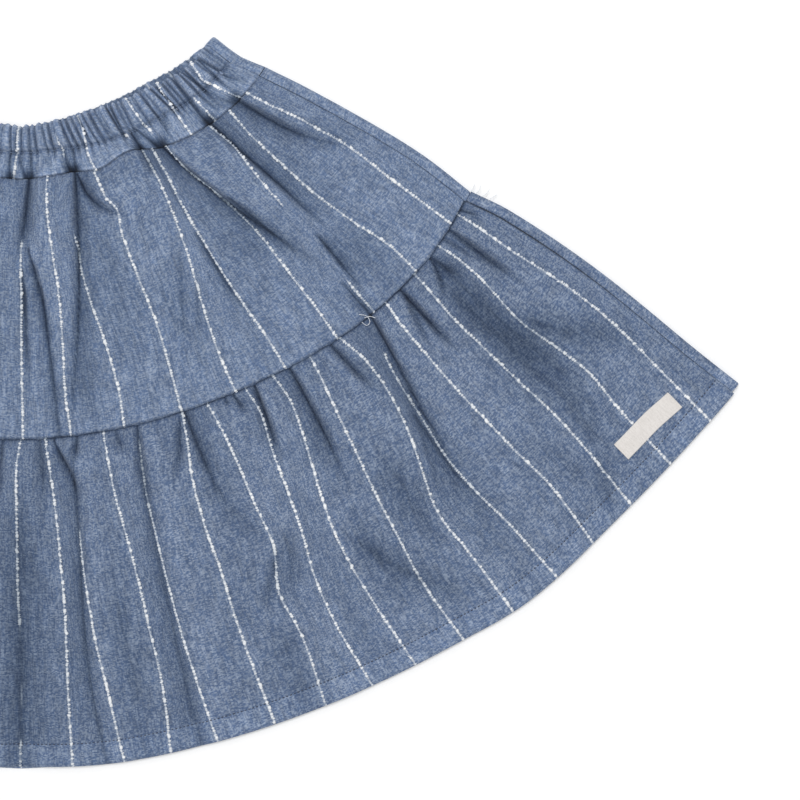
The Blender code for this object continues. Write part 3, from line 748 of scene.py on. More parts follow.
def gathered_by_elastic(angle, radius, in_channel, fade):
    """What the elastic's grooves leave of the height, and the painted shade in them."""
    kept, painted_groove_shade = np.ones_like(angle), np.ones_like(angle)
    for groove in GROOVES:
        arc = radius * np.radians(angle - mix(groove.top, groove.foot, in_channel))
        kept = kept * (1.0 - groove.depth * fade * np.exp(-np.abs(arc / groove.width) ** 1.5))
        painted_groove_shade = painted_groove_shade * (1.0 - GROOVE_LINE_SHADE * groove.depth * fade * bell(arc, 0.40 * MM))
    return kept, painted_groove_shade


def below_elastic(angle, radius, share, kept):
    """Height of the band's soft lower half, and its painted shade from folds and pinches."""
    below = np.clip((share - CHANNEL) / (1.0 - CHANNEL), 0.0, 1.0)
    folded, _, tone = fold_field(band_folds, angle, radius, share * BAND_DEPTH)
    joined, _, _ = tier_height(UPPER, angle, 0.0)
    crown = CROWN_HEIGHT * math.sin(math.pi * below) ** 0.7 if below > 0 else 0.0
    start = BAND_GROUND + DOME_BASE + RIDGE_HEIGHT * (kept - RIDGE_MIDDLE)
    level = mix(start, joined + 0.5 * MM, smooth(below))
    uneven = 1.0 + 0.25 * swell(angle, radius, 0.012, 9)
    height = level + crown * (0.25 + 0.75 * folded * kept) * uneven
    dip = pinch_dip(angle, radius, (1.0 - below) * (1.0 - CHANNEL) * BAND_DEPTH)
    return height - dip, tone * np.exp(-PINCH_SHADE * dip)


def band_height(angle, share):
    """Height of the front band's top face along a row, and its painted light and shade."""
    radius = band_radius(angle, share)
    in_channel = np.clip(share / CHANNEL, 0.0, 1.0)
    below = np.clip((share - CHANNEL) / (1.0 - CHANNEL), 0.0, 1.0)
    fade = 1.0 if share < CHANNEL else math.exp(-below * 2.2)
    kept, painted_groove_shade = gathered_by_elastic(angle, radius, in_channel, fade)
    limit = along(BAND_SIDE, share)
    calm = smooth((limit - CALM_FROM - np.abs(angle)) / CALM_OVER)
    # Painted light on the ridges, painted shade in the grooves, and a little uneven tone.
    tone = painted_groove_shade * (RIDGE_LIGHT - GROOVE_SHADE * (1.0 - kept))
    tone = tone * (1.0 + 0.05 * swell(angle, radius, 6.0 * MM, 13))
    tone = tone * (1.0 - 0.50 * bell(share - CHANNEL, 0.05) * (1.0 - kept))
    if share < CHANNEL:
        dome = 1.0 - (2.0 * in_channel - 1.0) ** 4
        height = BAND_GROUND + DOME_BASE + DOME_HEIGHT * dome * kept
        height = height + RIDGE_HEIGHT * (kept - RIDGE_MIDDLE) * (1.0 - dome)
    else:
        height, painted_fold_shade = below_elastic(angle, radius, share, kept)
        tone = tone * painted_fold_shade
    from_top, from_foot = share * BAND_DEPTH, (1.0 - share) * BAND_DEPTH
    stitched = 0.5 * MM * bell(share - CHANNEL, 0.03)
    turned = 0.6 * MM * (1.0 - smooth(from_top / (1.6 * MM)))
    edge = 0.3 * MM * bell(from_foot - 0.9 * MM, 0.5 * MM)
    edge = edge - 0.9 * MM * (1.0 - smooth(from_foot / (0.7 * MM)))
    from_side = radius * np.radians(limit - np.abs(angle))
    side = 0.1 * SEAM_GROOVE * bell(from_side - SEAM_INSET, 0.9 * MM)
    # Painted shade at the stitching and along the seam's edge, and painted highlights on the seam's ridge and
    # the top edge.
    tone = tone * (1.0 - 0.20 * bell(share - CHANNEL, 0.028) * (0.5 + 0.5 * calm))
    tone = tone * (1.0 + 0.30 * bell(from_foot - 1.0 * MM, 0.5 * MM))
    tone = tone * (1.0 - 0.50 * bell(from_foot, 0.35 * MM))
    tone = tone * (1.0 + 0.24 * bell(from_top - 0.4 * MM, 0.7 * MM))
    height = mix(SIDE_HEIGHT + 1.0 * MM, height, calm) - stitched - turned + edge - side
    return height, 0 * angle, mix(1.0, tone, calm)


def scallop(grooves, angle, share, radius):
    """How far the band's top edge dips in at each groove, as a longer radius."""
    reach = np.zeros_like(angle)
    for groove in grooves:
        arc = radius * np.radians(angle - groove.top)
        reach = reach + groove.depth * np.exp(-np.abs(arc / groove.width) ** 1.5)
    near_side = smooth((BAND_SIDE[0].degrees - 4.0 - np.abs(angle)) / 4.0)
    return 1.5 * MM * np.minimum(reach, 1.0) * near_side * math.exp(-share / 0.08)


def scalloped(angle, share):
    return band_radius(angle, share) + scallop(GROOVES, angle, share, band_radius(angle, 0.0))


band_shares = spaced((0.0, 0.10, 0.46, 0.60, 0.94, 1.0), (0.016, 0.030, 0.014, 0.028, 0.010))
band_columns = even_columns(BAND_HALF_CUT, 1.05 * MM)
band_angle, band_z, _, band_painted_light, band_r = lay_rows(
    band_columns, band_shares, band_height,
    lambda share: stripe_angles(BAND_STRIPES, BAND_STATIONS, share * BAND_STATIONS[-1]),
    scalloped,
    lambda share: half_angle(FRONT_BAND, share, FRONT_INSET),
)
band_rows = band_shares * BAND_DEPTH
laid_pieces["waistband", "front"] = Laid(
    place(band_angle, band_r, band_z), cloth_places(band_columns, band_rows), band_painted_light,
    stripes_shown(band_columns, band_rows, BAND_HIDDEN), band_columns, band_rows,
)
print("rows on the band:", len(band_rows))

# %% [markdown]
# ## The backs
#
# The back panels lie on the table, so their outer faces are flat at z = 0. Their gathers can only
# rise inwards, as shallow channels that start at a seam. At each side the back turns up in a
# half round and runs in over the front to the side seam. One section does all of that: the flat
# part first, then the points of the half round, then the short strip to the seam.

# %% Back panels
SEAM_LIFT = 0.7 * MM
TIER_ROLL = 4.4 * MM  # height of the half round at the folded sides
WRAP, WRAP_EXTRA = 9.5 * MM, 8.0 * MM  # cloth in one half round, and what a back has more than a front
LIFT_REACH, HIGHEST_CHANNEL = 1.3 * MM, 1.9 * MM
BACK_SHADE, HIGHEST_SHADED = 0.58, 1.8 * MM
# Painted light on the rounded sides, and painted shade along the side seam.
SIDE_PAINTED_LIGHT, SIDE_SEAM_PAINTED_LIGHT = 1.06, 1.0
SIDE_TURNS = [(math.radians(turn), 0.0) for turn in (22, 45, 67, 90, 112, 135, 157, 180)]
SIDE_TURNS += [(math.pi, run) for run in (0.45, 0.75, 0.9, 1.0)]  # runs over the front to the seam


def channel_rows(limit, count, seed):
    """Channels of a back panel: angle at the seam, drift, depth, half width and length."""
    chance = np.random.default_rng(seed)
    places = np.linspace(-limit, limit, count) + chance.uniform(-1.1, 1.1, count)
    return [
        (a, chance.uniform(-1.6, 1.6), chance.uniform(0.5, 1.0) * 1.5 * MM,
         chance.uniform(1.1, 3.2) * MM, chance.uniform(16, 85) * MM)
        for a in places
    ]


def back_height(channels, lifts, angle, radius, share, depth):
    """Height of a back panel's outer face along a row: its channels, and the lifts at its seams."""
    distance = share * depth
    height = np.zeros_like(angle)
    for start, drift, deep, width, length in channels:
        fade = 1.0 - smooth(distance / length)
        arc = radius * np.radians(angle - start - drift * distance / length)
        height = height + deep * fade * np.exp(-np.abs(arc / (width * (1 + 6 * distance))) ** 1.7)
    at_top, at_foot = lifts
    height = height + at_top * bell(distance, LIFT_REACH) + at_foot * bell((1 - share) * depth, LIFT_REACH)
    return np.minimum(height, HIGHEST_CHANNEL)


def side_strip(form, roll, flat_half, distances):
    """The half round at the right side and the strip in to the seam: points and places on the cloth."""
    strip = np.zeros((len(SIDE_TURNS), len(distances), 3))
    cloth = np.zeros((len(SIDE_TURNS), len(distances), 2))
    for i, (turn, run) in enumerate(SIDE_TURNS):
        for j, share in enumerate(distances / depth_of(form)):
            rho = 0.5 * roll(share)
            angle = half_angle(form, share, rho - rho * math.sin(turn) + run * (SEAM_INSET - rho))
            radius = radius_at(form, angle, share)
            open_seam = along(SIDE_SEAM, radius) * max(run - 0.7, 0) / 0.3
            strip[i, j] = place(angle, radius, rho * (1 - math.cos(turn)) - SEAM_GROOVE * open_seam)
            cloth[i, j] = flat_half + rho * turn + run * (SEAM_INSET - rho), distances[j]
    return strip, cloth


def back_panel(form, roll, half_cut, step, distances, channels, lifts, extra=None, wavy=None):
    """A back panel that wraps round both sides, with rows at distances below its seam.

    roll gives the half round's height at a share, extra adds to the height, wavy to the radius."""
    depth = depth_of(form)
    shares = distances / depth
    flat_half = half_cut + WRAP_EXTRA - WRAP
    columns = np.linspace(-flat_half, flat_half, 2 * (int(2 * flat_half / step) // 2) + 1)

    def limit_at(share):
        return half_angle(form, share, 0.5 * roll(share))

    def heights(angle, share):
        radius = radius_at(form, angle, share)
        z = back_height(channels, lifts, angle, radius, share, depth)
        z = z + (extra(angle, share) if extra else 0.0)
        from_side = radius * np.radians(limit_at(share) - np.abs(angle))
        z = np.clip(z, 0.0, None) * smooth(from_side / SIDE_CALM)
        # Painted shade, deeper where the channels rise.
        return z, 0 * angle, 1.0 - BACK_SHADE * smooth(z / HIGHEST_SHADED)

    def radii(angle, share):
        return radius_at(form, angle, share) + (wavy(angle, share) if wavy else 0.0)

    angle, height, _, tone, radius = lay_rows(
        columns, shares, heights, lambda share: np.array([0.0]), radii, limit_at
    )
    right, right_cloth = side_strip(form, roll, flat_half, distances)
    left, left_cloth = (right * np.array([-1, 1, 1]))[::-1], (right_cloth * np.array([-1, 1]))[::-1]
    points = np.concatenate([left, place(angle, radius, height), right])
    cloth = np.concatenate([left_cloth, cloth_places(columns, distances), right_cloth])
    marks = along(SIDE_SEAM, np.hypot(right[-1, :, 0], right[-1, :, 1] - FAN_CENTRE_Y))
    # Painted light on the half round, and painted shade where the side seam shows.
    side_painted_light = np.full((len(right), len(distances)), SIDE_PAINTED_LIGHT)
    side_painted_light[-2], side_painted_light[-1] = SIDE_PAINTED_LIGHT - 0.15 * marks, SIDE_SEAM_PAINTED_LIGHT - 0.5 * marks
    tone = np.concatenate([side_painted_light[::-1], tone, side_painted_light])
    return Laid(points, cloth, tone, np.ones(tone.shape), columns, distances)


def tier_roll(share):
    return TIER_ROLL


upper_back_rows = spaced((0.0, 0.012, 0.060, 0.124, 0.1297), (0.0024, 0.0048, 0.0064, 0.0012))
lower_back_rows = spaced((0.0003, 0.012, 0.060, 0.150, 0.1645), (0.0024, 0.0044, 0.0060, 0.0024))
laid_pieces["upper_tier", "back"] = back_panel(
    UPPER.form, tier_roll, UPPER_HALF_CUT, 3.4 * MM, upper_back_rows,
    channel_rows(52.0, 30, 31), (SEAM_LIFT, SEAM_LIFT),
)
laid_pieces["lower_tier", "back"] = back_panel(
    LOWER.form._replace(foot=BACK_HEM), tier_roll, LOWER_HALF_CUT, 3.6 * MM, lower_back_rows,
    channel_rows(54.0, 46, 32), (SEAM_LIFT, 0.0),
)
print("rows on the upper back:", len(upper_back_rows), "and on the lower:", len(lower_back_rows))

# %% [markdown]
# The back of the band is gathered by the same elastic. Its grooves are channels too, and its top
# edge dips in at each of them, as the front's does.

# %% The back of the waistband
BACK_BAND = FRONT_BAND._replace(top=BACK_WAIST)
WAIST_ROLL, ELASTIC_ROLL = 5.1 * MM, 5.8 * MM  # heights of the half round at the waist and lower


def band_roll(share):
    """The half round is highest over the elastic, and comes down to the tiers' at the seam."""
    if share >= 0.56:
        return mix(WAIST_ROLL, TIER_ROLL, smooth((share - 0.56) / 0.44))
    full = smooth(share / 0.08) if share < 0.3 else 1.0 - smooth((share - 0.46) / 0.1)
    return mix(WAIST_ROLL, ELASTIC_ROLL, full)


def band_back_height(angle, share):
    """The elastic's grooves as narrow channels, and the stitched line."""
    in_channel = np.clip(share / CHANNEL, 0.0, 1.0)
    fade = 1.0 if share < CHANNEL else math.exp(-(share - CHANNEL) / 0.25)
    radius = radius_at(BACK_BAND, angle, share)
    height = np.zeros_like(angle)
    for groove in BACK_GROOVES:
        arc = radius * np.radians(angle - mix(groove.top, groove.foot, in_channel))
        channel = groove.depth * fade * np.exp(-np.abs(arc / groove.width) ** 1.5)
        height = np.maximum(height, 2.6 * MM * channel)
    return height + 0.35 * MM * bell(share - CHANNEL, 0.03)


def band_back_wave(angle, share):
    return scallop(BACK_GROOVES, angle, share, BACK_WAIST[0].radius)


band_back_rows = np.append(spaced((0.0, 0.0245), (0.0012,)), (0.0256, 0.0264))
laid_pieces["waistband", "back"] = back_panel(
    BACK_BAND, band_roll, BAND_HALF_CUT, 1.2 * MM, band_back_rows, [], (0.0, SEAM_LIFT),
    band_back_height, band_back_wave,
)
print("rows on the band's back:", len(band_back_rows))

# %% [markdown]
# ## Turned edges
#
# A raw edge never shows on a finished garment: at the hem and at the waist the cloth turns back
# on itself. So the sheet is carried on from its last row, half way round a small circle, and
# then back up inside. The same helper turns the hem, the seam edge and the top of the band.

# %% Turned edges
TURN_STEPS = [math.radians(turn) for turn in (40, 80, 120, 155, 180)]
BACK_STEPS = (0.3, 1.0)
TURNED_ROWS = len(TURN_STEPS) + len(BACK_STEPS)


def turned_back(points, cloth, outward_up, loop, back):
    """Carries a sheet's last row round its edge, in a loop that wide, and that far back inside it."""
    edge, before = points[:, -1], points[:, -2]
    away = (edge - np.array([0.0, FAN_CENTRE_Y, 0.0])) * np.array([1.0, 1.0, 0.0])
    away = away / np.linalg.norm(away, axis=1, keepdims=True)
    away = away * np.sign(np.sum((edge - before) * away, axis=1, keepdims=True))
    outer = np.cross(away, np.gradient(edge, axis=0))
    outer = outer / np.linalg.norm(outer, axis=1, keepdims=True)
    if (outer[len(outer) // 2, 2] > 0) != outward_up:
        outer = -outer
    radius = 0.5 * loop
    rows = [edge + away * radius * math.sin(t) - outer * radius * (1 - math.cos(t)) for t in TURN_STEPS]
    rows += [edge - away * back * share - outer * loop for share in BACK_STEPS]
    lengths = [radius * t for t in TURN_STEPS] + [radius * math.pi + back * share for share in BACK_STEPS]
    sign = np.sign(cloth[0, -1, 1] - cloth[0, -2, 1])
    more = np.stack([cloth[:, -1] + np.array([0.0, sign * length]) for length in lengths], axis=1)
    return np.concatenate([points, np.stack(rows, axis=1)], axis=1), np.concatenate([cloth, more], axis=1)


def carried_on(values):
    """Values of the last row, carried on to the rows that turn back."""
    return np.concatenate([values, np.repeat(values[:, -1:], TURNED_ROWS, axis=1)], axis=1)


def sewn(slot, face, foot=None, head=None, floor=0.0, inside_shade=1.0):
    """A laid piece's mesh, its foot and head turned back by (loop, length back inside)."""
    up, laid = face == "front", laid_pieces[slot, face]
    points, cloth, tone, striped = laid[:4]
    if foot:
        points, cloth = turned_back(points, cloth, up, *foot)
        tone, striped = carried_on(tone), carried_on(striped)
    if head:
        points, cloth = turned_back(points[:, ::-1], cloth[:, ::-1], up, *head)
        tone, striped = carried_on(tone[:, ::-1]), carried_on(striped[:, ::-1])
        points, cloth, tone, striped = (values[:, ::-1] for values in (points, cloth, tone, striped))
        tone[:, :TURNED_ROWS] *= inside_shade
    points[:, :, 2] = np.maximum(points[:, :, 2], floor)
    return grid_mesh(f"{slot}_cloth_{face}", points, cloth, up, tone, striped)


SEAM_ALLOWANCE = 6.0 * MM
INNER_FLOOR = 1.4 * MM  # the band's inner layer stays above the back
INSIDE_SHADE = 1.30
HEM_TURN = HEM_DEPTH - 1.0 * MM
# For each edge, how wide its loop is and how far the cloth runs back inside.
SEAM_EDGE, HEM_EDGE = (1.1 * MM, SEAM_ALLOWANCE), (1.15 * MM, HEM_TURN)
BAND_EDGE, WAIST_EDGE, BACK_WAIST_EDGE = (1.05 * MM, 2.0 * MM), (1.15 * MM, 22.0 * MM), (1.2 * MM, 20.0 * MM)
cloths = {
    ("upper_tier", "front"): sewn("upper_tier", "front", foot=SEAM_EDGE),
    ("lower_tier", "front"): sewn("lower_tier", "front", foot=HEM_EDGE),
    ("waistband", "front"): sewn("waistband", "front", BAND_EDGE, WAIST_EDGE, floor=INNER_FLOOR),
    ("upper_tier", "back"): sewn("upper_tier", "back", foot=SEAM_EDGE),
    ("lower_tier", "back"): sewn("lower_tier", "back", foot=HEM_EDGE),
    ("waistband", "back"): sewn("waistband", "back", head=BACK_WAIST_EDGE, inside_shade=INSIDE_SHADE),
}

# %% [markdown]
# ## Yarns and stitches
#
# The pinstripes are single thick slub yarns: white cotton that swells into soft beads every two
# millimetres or so. They could be painted on, but the real ones stand up out of the cloth, so
# Geometry Nodes sweep a small section along the cloth's own columns. Noise along each yarn
# sets its thickness, and the same value is kept as an attribute for the material to read.

# %% Helpers for node trees
def link(tree, kind, values=None, output=0, **settings):
    """Adds a node, fills its inputs with values or links, and returns one output, or all for None."""
    node = tree.nodes.new(kind)
    for name, value in settings.items():
        setattr(node, name, value)
    for key, value in (values or {}).items():
        if isinstance(value, bpy.types.NodeSocket):
            tree.links.new(value, node.inputs[key])
        else:
            node.inputs[key].default_value = value
    return node.outputs if output is None else node.outputs[output]


def new_group(kind, name, inputs, outputs):
    """A node group. Returns the tree, the sockets that it is given, and those of its result."""
    tree = bpy.data.node_groups.new(name, kind + "NodeTree")
    for label, socket, default in inputs:
        made = tree.interface.new_socket(label, in_out="INPUT", socket_type="NodeSocket" + socket)
        if default is not None:
            made.default_value = default
    for label, socket in outputs:
        tree.interface.new_socket(label, in_out="OUTPUT", socket_type="NodeSocket" + socket)
    return tree, tree.nodes.new("NodeGroupInput").outputs, tree.nodes.new("NodeGroupOutput").inputs


def resampled(tree, mesh, step):
    """The edges of a mesh as curves with points that far apart."""
    line = link(tree, "GeometryNodeMeshToCurve", {"Mesh": mesh})
    return link(tree, "GeometryNodeResampleCurve", {"Curve": line, "Length": step}, mode="LENGTH")


def ended(tree, geometry, given, result):
    """Ends a geometry tree: its instances are made real and take the material."""
    whole = link(tree, "GeometryNodeRealizeInstances", {"Geometry": geometry})
    done = link(tree, "GeometryNodeSetMaterial", {"Geometry": whole, "Material": given["Material"]})
    tree.links.new(done, result[0])
    return tree


# %% The slub yarn tree
def slub_yarn_tree():
    inputs = [
        ("Paths", "Geometry", None), ("Step", "Float", 0.5 * MM), ("Thin", "Float", 0.16 * MM),
        ("Bead", "Float", 0.55 * MM), ("Bead spacing", "Float", 1.9 * MM),
        ("Wander", "Float", 0.9 * MM), ("Material", "Material", None),
    ]
    tree, given, result = new_group("Geometry", "slub yarn", inputs, [("Yarns", "Geometry")])
    path = resampled(tree, given["Paths"], given["Step"])
    level = link(tree, "GeometryNodeSetCurveNormal", {"Curve": path}, mode="Z_UP")
    spot = link(tree, "GeometryNodeInputPosition")
    pace = link(tree, "ShaderNodeMath", {0: 2.1, 1: given["Bead spacing"]}, operation="DIVIDE")
    grain = {"Vector": spot, "Scale": pace, "Detail": 1.5, "Roughness": 0.7}
    noise_value, noise_colour = link(tree, "ShaderNodeTexNoise", grain, None)
    reach = {"Value": noise_value, "From Min": 0.44, "From Max": 0.58}
    bead = link(tree, "ShaderNodeMapRange", reach, interpolation_type="SMOOTHSTEP")
    centred = link(tree, "ShaderNodeVectorMath", {0: noise_colour, 1: (0.5, 0.5, 0.5)}, operation="SUBTRACT")
    sideways = link(tree, "ShaderNodeVectorMath", {0: centred, 1: (1.0, 1.0, 0.2)}, operation="MULTIPLY")
    wander = link(tree, "ShaderNodeVectorMath", {0: sideways, "Scale": given["Wander"]}, operation="SCALE")
    bent = link(tree, "GeometryNodeSetPosition", {"Geometry": level, "Offset": wander})
    kept = link(
        tree, "GeometryNodeStoreNamedAttribute", {"Geometry": bent, "Name": "bead", "Value": bead},
        data_type="FLOAT", domain="POINT",
    )
    widths = {"Value": bead, "To Min": given["Thin"], "To Max": given["Bead"]}
    width = link(tree, "ShaderNodeMapRange", widths)
    section = link(tree, "GeometryNodeCurvePrimitiveCircle", {"Resolution": 6, "Radius": 1.0})
    flat = link(tree, "GeometryNodeTransform", {"Geometry": section, "Scale": (1.0, 0.6, 1.0)})
    sweep = {"Curve": kept, "Profile Curve": flat, "Scale": width, "Fill Caps": True}
    return ended(tree, link(tree, "GeometryNodeCurveToMesh", sweep), given, result)


# %% The stitch tree
def stitch_tree():
    inputs = [
        ("Line", "Geometry", None), ("Spacing", "Float", 2.0 * MM), ("Length", "Float", 1.2 * MM),
        ("Thread", "Float", 0.22 * MM), ("Seed", "Int", 1), ("Material", "Material", None),
    ]
    tree, given, result = new_group("Geometry", "running stitch", inputs, [("Stitches", "Geometry")])
    line = resampled(tree, given["Line"], given["Spacing"])
    tangent = link(tree, "GeometryNodeInputTangent")
    turn = link(tree, "FunctionNodeAlignRotationToVector", {"Vector": tangent}, axis="Z")
    grain = link(tree, "GeometryNodeMeshUVSphere", {"Segments": 6, "Rings": 5, "Radius": 1.0})
    half = link(tree, "ShaderNodeMath", {0: given["Length"], 1: 0.5}, operation="MULTIPLY")
    shape = link(tree, "ShaderNodeCombineXYZ", {"X": given["Thread"], "Y": given["Thread"], "Z": half})
    sizes = {2: 0.82, 3: 1.15, "Seed": given["Seed"]}
    chance = link(tree, "FunctionNodeRandomValue", sizes, 1, data_type="FLOAT")
    size = link(tree, "ShaderNodeVectorMath", {0: shape, "Scale": chance}, operation="SCALE")
    set_out = {"Points": line, "Instance": grain, "Rotation": turn, "Scale": size}
    return ended(tree, link(tree, "GeometryNodeInstanceOnPoints", set_out), given, result)


SLUB_YARN = slub_yarn_tree()
RUNNING_STITCH = stitch_tree()


# %% From paths to a plain mesh
def made_by(tree, name, paths, inputs, painted_light_per_path=None):
    """Runs a tree on a set of paths (lists of points) and keeps the result as a plain mesh.

    How much of the light reaches each point is kept too, for the yarn's material to paint in as shade."""
    points = np.concatenate(paths)
    edges, first = [], 0
    for path in paths:
        edges += [(i, i + 1) for i in range(first, first + len(path) - 1)]
        first += len(path)
    wire = bpy.data.meshes.new(name + "_paths")
    wire.from_pydata(points, edges, [])
    keep_values(wire, "tone", np.ones(len(points)) if painted_light_per_path is None else np.concatenate(painted_light_per_path))
    holder = shown_object(name + "_paths", wire)
    step = holder.modifiers.new(name, "NODES")
    step.node_group = tree
    sockets = {item.name: item.identifier for item in tree.interface.items_tree if item.in_out == "INPUT"}
    for key, value in inputs.items():
        step[sockets[key]] = value
    made = holder.evaluated_get(bpy.context.evaluated_depsgraph_get())
    mesh = bpy.data.meshes.new_from_object(made)
    mesh.name = name
    bpy.data.objects.remove(holder)
    mesh.shade_smooth()
    print(name, "has", sum(len(p.vertices) - 2 for p in mesh.polygons), "triangles")
    return shown_object(name, mesh)


# %% [markdown]
# ## Materials
#
# Chambray has a blue warp and a white weft, so close up it is a fine crosshatch of lighter and
# darker dashes. One node group makes that thread by thread: the place across the cloth, rounded
# down to whole threads, picks a noise of its own for each, and the place along it makes the dashes.
# It reads the cloth's UV map, whose unit is a metre of cut cloth, so the weave follows every fold.

# %% Helpers for materials
def math_node(tree, operation, a, b=0.0, c=0.0, clamp=False):
    return link(tree, "ShaderNodeMath", {0: a, 1: b, 2: c}, operation=operation, use_clamp=clamp)


def noise(tree, vector, scale=1.0, detail=1.0, roughness=0.5):
    values = {"Vector": vector, "Scale": scale, "Detail": detail, "Roughness": roughness}
    return link(tree, "ShaderNodeTexNoise", values)


def stretched(tree, vector, across, down, detail=1.0):
    """Noise on coordinates stretched by a scale of its own across and down the cloth."""
    moved = link(tree, "ShaderNodeMapping", {"Vector": vector, "Scale": (across, down, 1.0)})
    return noise(tree, moved, 1.0, detail, 0.6)


def ranged(tree, value, low, high, at_low=0.0, at_high=1.0, kind="SMOOTHSTEP"):
    values = {"Value": value, "From Min": low, "From Max": high, "To Min": at_low, "To Max": at_high}
    return link(tree, "ShaderNodeMapRange", values, interpolation_type=kind)


def tinted(tree, blend, factor, a, b):
    """Colours a and b (tuples or sockets) blended. The keys are the mix node's colour sockets."""
    values = {0: factor, 6: a, 7: b}
    return link(tree, "ShaderNodeMix", values, 2, data_type="RGBA", blend_type=blend, clamp_factor=True)


def times(tree, colour, red, green, blue):
    tone = link(tree, "ShaderNodeCombineColor", {0: red, 1: green, 2: blue})
    return tinted(tree, "MULTIPLY", 1.0, colour, tone)


def split_place(tree, vector):
    return link(tree, "ShaderNodeSeparateXYZ", {0: vector}, None)


def read_value(tree, name):
    """A value that the mesh keeps at its points."""
    return link(tree, "ShaderNodeAttribute", output="Fac", attribute_name=name)


def shaded(tree, colour, powers):
    """Paints shade and light into a colour from the value kept on the mesh, with a power for red, green and
    blue: painted shade turns bluer.
    """
    lit = read_value(tree, "tone")
    return times(tree, colour, *(math_node(tree, "POWER", lit, power) for power in powers))


# %% The woven cloth group
def thread_streaks(tree, side, way, given, reach, offset):
    """Lighter and darker stretches of single threads: a value of its own for each, changing along it."""
    number = math_node(tree, "FLOOR", math_node(tree, "DIVIDE", side, given["Thread size"]))
    run = math_node(tree, "DIVIDE", way, math_node(tree, "MULTIPLY", given["Streak length"], reach))
    own = math_node(tree, "MULTIPLY_ADD", number, 7.31, 0.37)
    return noise(tree, link(tree, "ShaderNodeCombineXYZ", {0: own, 1: run, 2: offset}))


def woven_cloth_group():
    inputs = [
        ("Place", "Vector", None), ("Cloth", "Color", None), ("Weft fleck", "Color", None),
        ("Warp fleck", "Color", None), ("Fleck strength", "Float", 0.5), ("Thread size", "Float", 0.55 * MM),
        ("Streak length", "Float", 2.0 * MM), ("Patchiness", "Float", 0.12), ("Heather", "Float", 0.42),
    ]
    outputs = [("Color", "Color"), ("Roughness", "Float"), ("Height", "Float")]
    tree, given, result = new_group("Shader", "woven cloth", inputs, outputs)
    where = given["Place"]
    wobble = math_node(tree, "SUBTRACT", stretched(tree, where, 70.0, 70.0), 0.5)
    flat_across, flat_down, _ = split_place(tree, where)
    across = math_node(tree, "MULTIPLY_ADD", wobble, 0.6 * MM, flat_across)
    down = math_node(tree, "MULTIPLY_ADD", wobble, 0.6 * MM, flat_down)
    warp = thread_streaks(tree, across, down, given, 2.6, 0.4)
    weft = thread_streaks(tree, down, across, given, 0.7, 9.6)
    warp_mask = ranged(tree, warp, 0.42, 0.62, kind="LINEAR")
    weft_mask = ranged(tree, weft, 0.38, 0.66, kind="LINEAR")
    light = math_node(tree, "MULTIPLY", weft_mask, given["Fleck strength"])
    dark = math_node(tree, "MULTIPLY", warp_mask, given["Fleck strength"])
    colour = tinted(tree, "MIX", light, given["Cloth"], given["Weft fleck"])
    colour = tinted(tree, "MIX", dark, colour, given["Warp fleck"])
    broad = stretched(tree, where, 26.0, 17.0, 3.0)
    streaks_and_blotches = math_node(
        tree, "ADD", stretched(tree, where, 600.0, 60.0), stretched(tree, where, 150.0, 110.0)
    )
    heather = math_node(tree, "SUBTRACT", streaks_and_blotches, 1.0)
    beat = math_node(tree, "SINE", math_node(tree, "DIVIDE", down, 1.75 * MM / math.tau))
    heather = math_node(tree, "MULTIPLY_ADD", beat, 0.09, heather)
    shade = math_node(tree, "MULTIPLY", math_node(tree, "SUBTRACT", broad, 0.5), given["Patchiness"])
    shade = math_node(tree, "ADD", math_node(tree, "MULTIPLY_ADD", heather, given["Heather"], 1.0), shade)
    tree.links.new(times(tree, colour, shade, shade, shade), result["Color"])
    tree.links.new(math_node(tree, "MULTIPLY_ADD", warp_mask, 0.12, 0.80), result["Roughness"])
    tree.links.new(math_node(tree, "ADD", warp, weft), result["Height"])
    return tree


# %% The pinstripe's own weave
def pinstripe_group():
    """A mask for the loose white threads that lie flat beside each slub yarn."""
    inputs = [
        ("Place", "Vector", None), ("Spacing", "Float", PITCH), ("Half width", "Float", 0.55 * MM),
        ("Bead spacing", "Float", 1.9 * MM),
    ]
    tree, given, result = new_group("Shader", "pinstripe", inputs, [("Mask", "Float")])
    across, _, _ = split_place(tree, given["Place"])
    shifted = math_node(tree, "MULTIPLY_ADD", given["Spacing"], 60.0, across)
    away = math_node(tree, "PINGPONG", shifted, math_node(tree, "MULTIPLY", given["Spacing"], 0.5))
    pace = math_node(tree, "DIVIDE", 1.0, given["Bead spacing"])
    scaled = link(tree, "ShaderNodeVectorMath", {0: given["Place"], "Scale": pace}, operation="SCALE")
    beads = noise(tree, scaled, 1.3, 3.0)
    width = math_node(tree, "MULTIPLY", given["Half width"], math_node(tree, "MULTIPLY_ADD", beads, 1.6, 0.2))
    mask = ranged(tree, math_node(tree, "DIVIDE", away, width), 0.45, 1.15, 1.0, 0.0)
    breaks = ranged(tree, beads, 0.36, 0.56, 0.25, 1.0)
    tree.links.new(math_node(tree, "MULTIPLY", mask, breaks), result["Mask"])
    return tree


WOVEN_CLOTH = woven_cloth_group()
PINSTRIPE = pinstripe_group()


# %% Chambray
CLOTH_SHADE = (1.0, 0.88, 0.76)
YARN_SHADE = (0.70, 0.62, 0.54)


def new_material(name, roughness=0.88, sheen=0.0):
    material = bpy.data.materials.new(name)
    material.use_nodes = True
    tree = material.node_tree
    shader = tree.nodes["Principled BSDF"]
    shader.inputs["Roughness"].default_value = roughness
    shader.inputs["Specular IOR Level"].default_value = 0.25
    shader.inputs["Sheen Weight"].default_value = sheen
    shader.inputs["Sheen Roughness"].default_value = 0.6
    return material, tree, shader.inputs


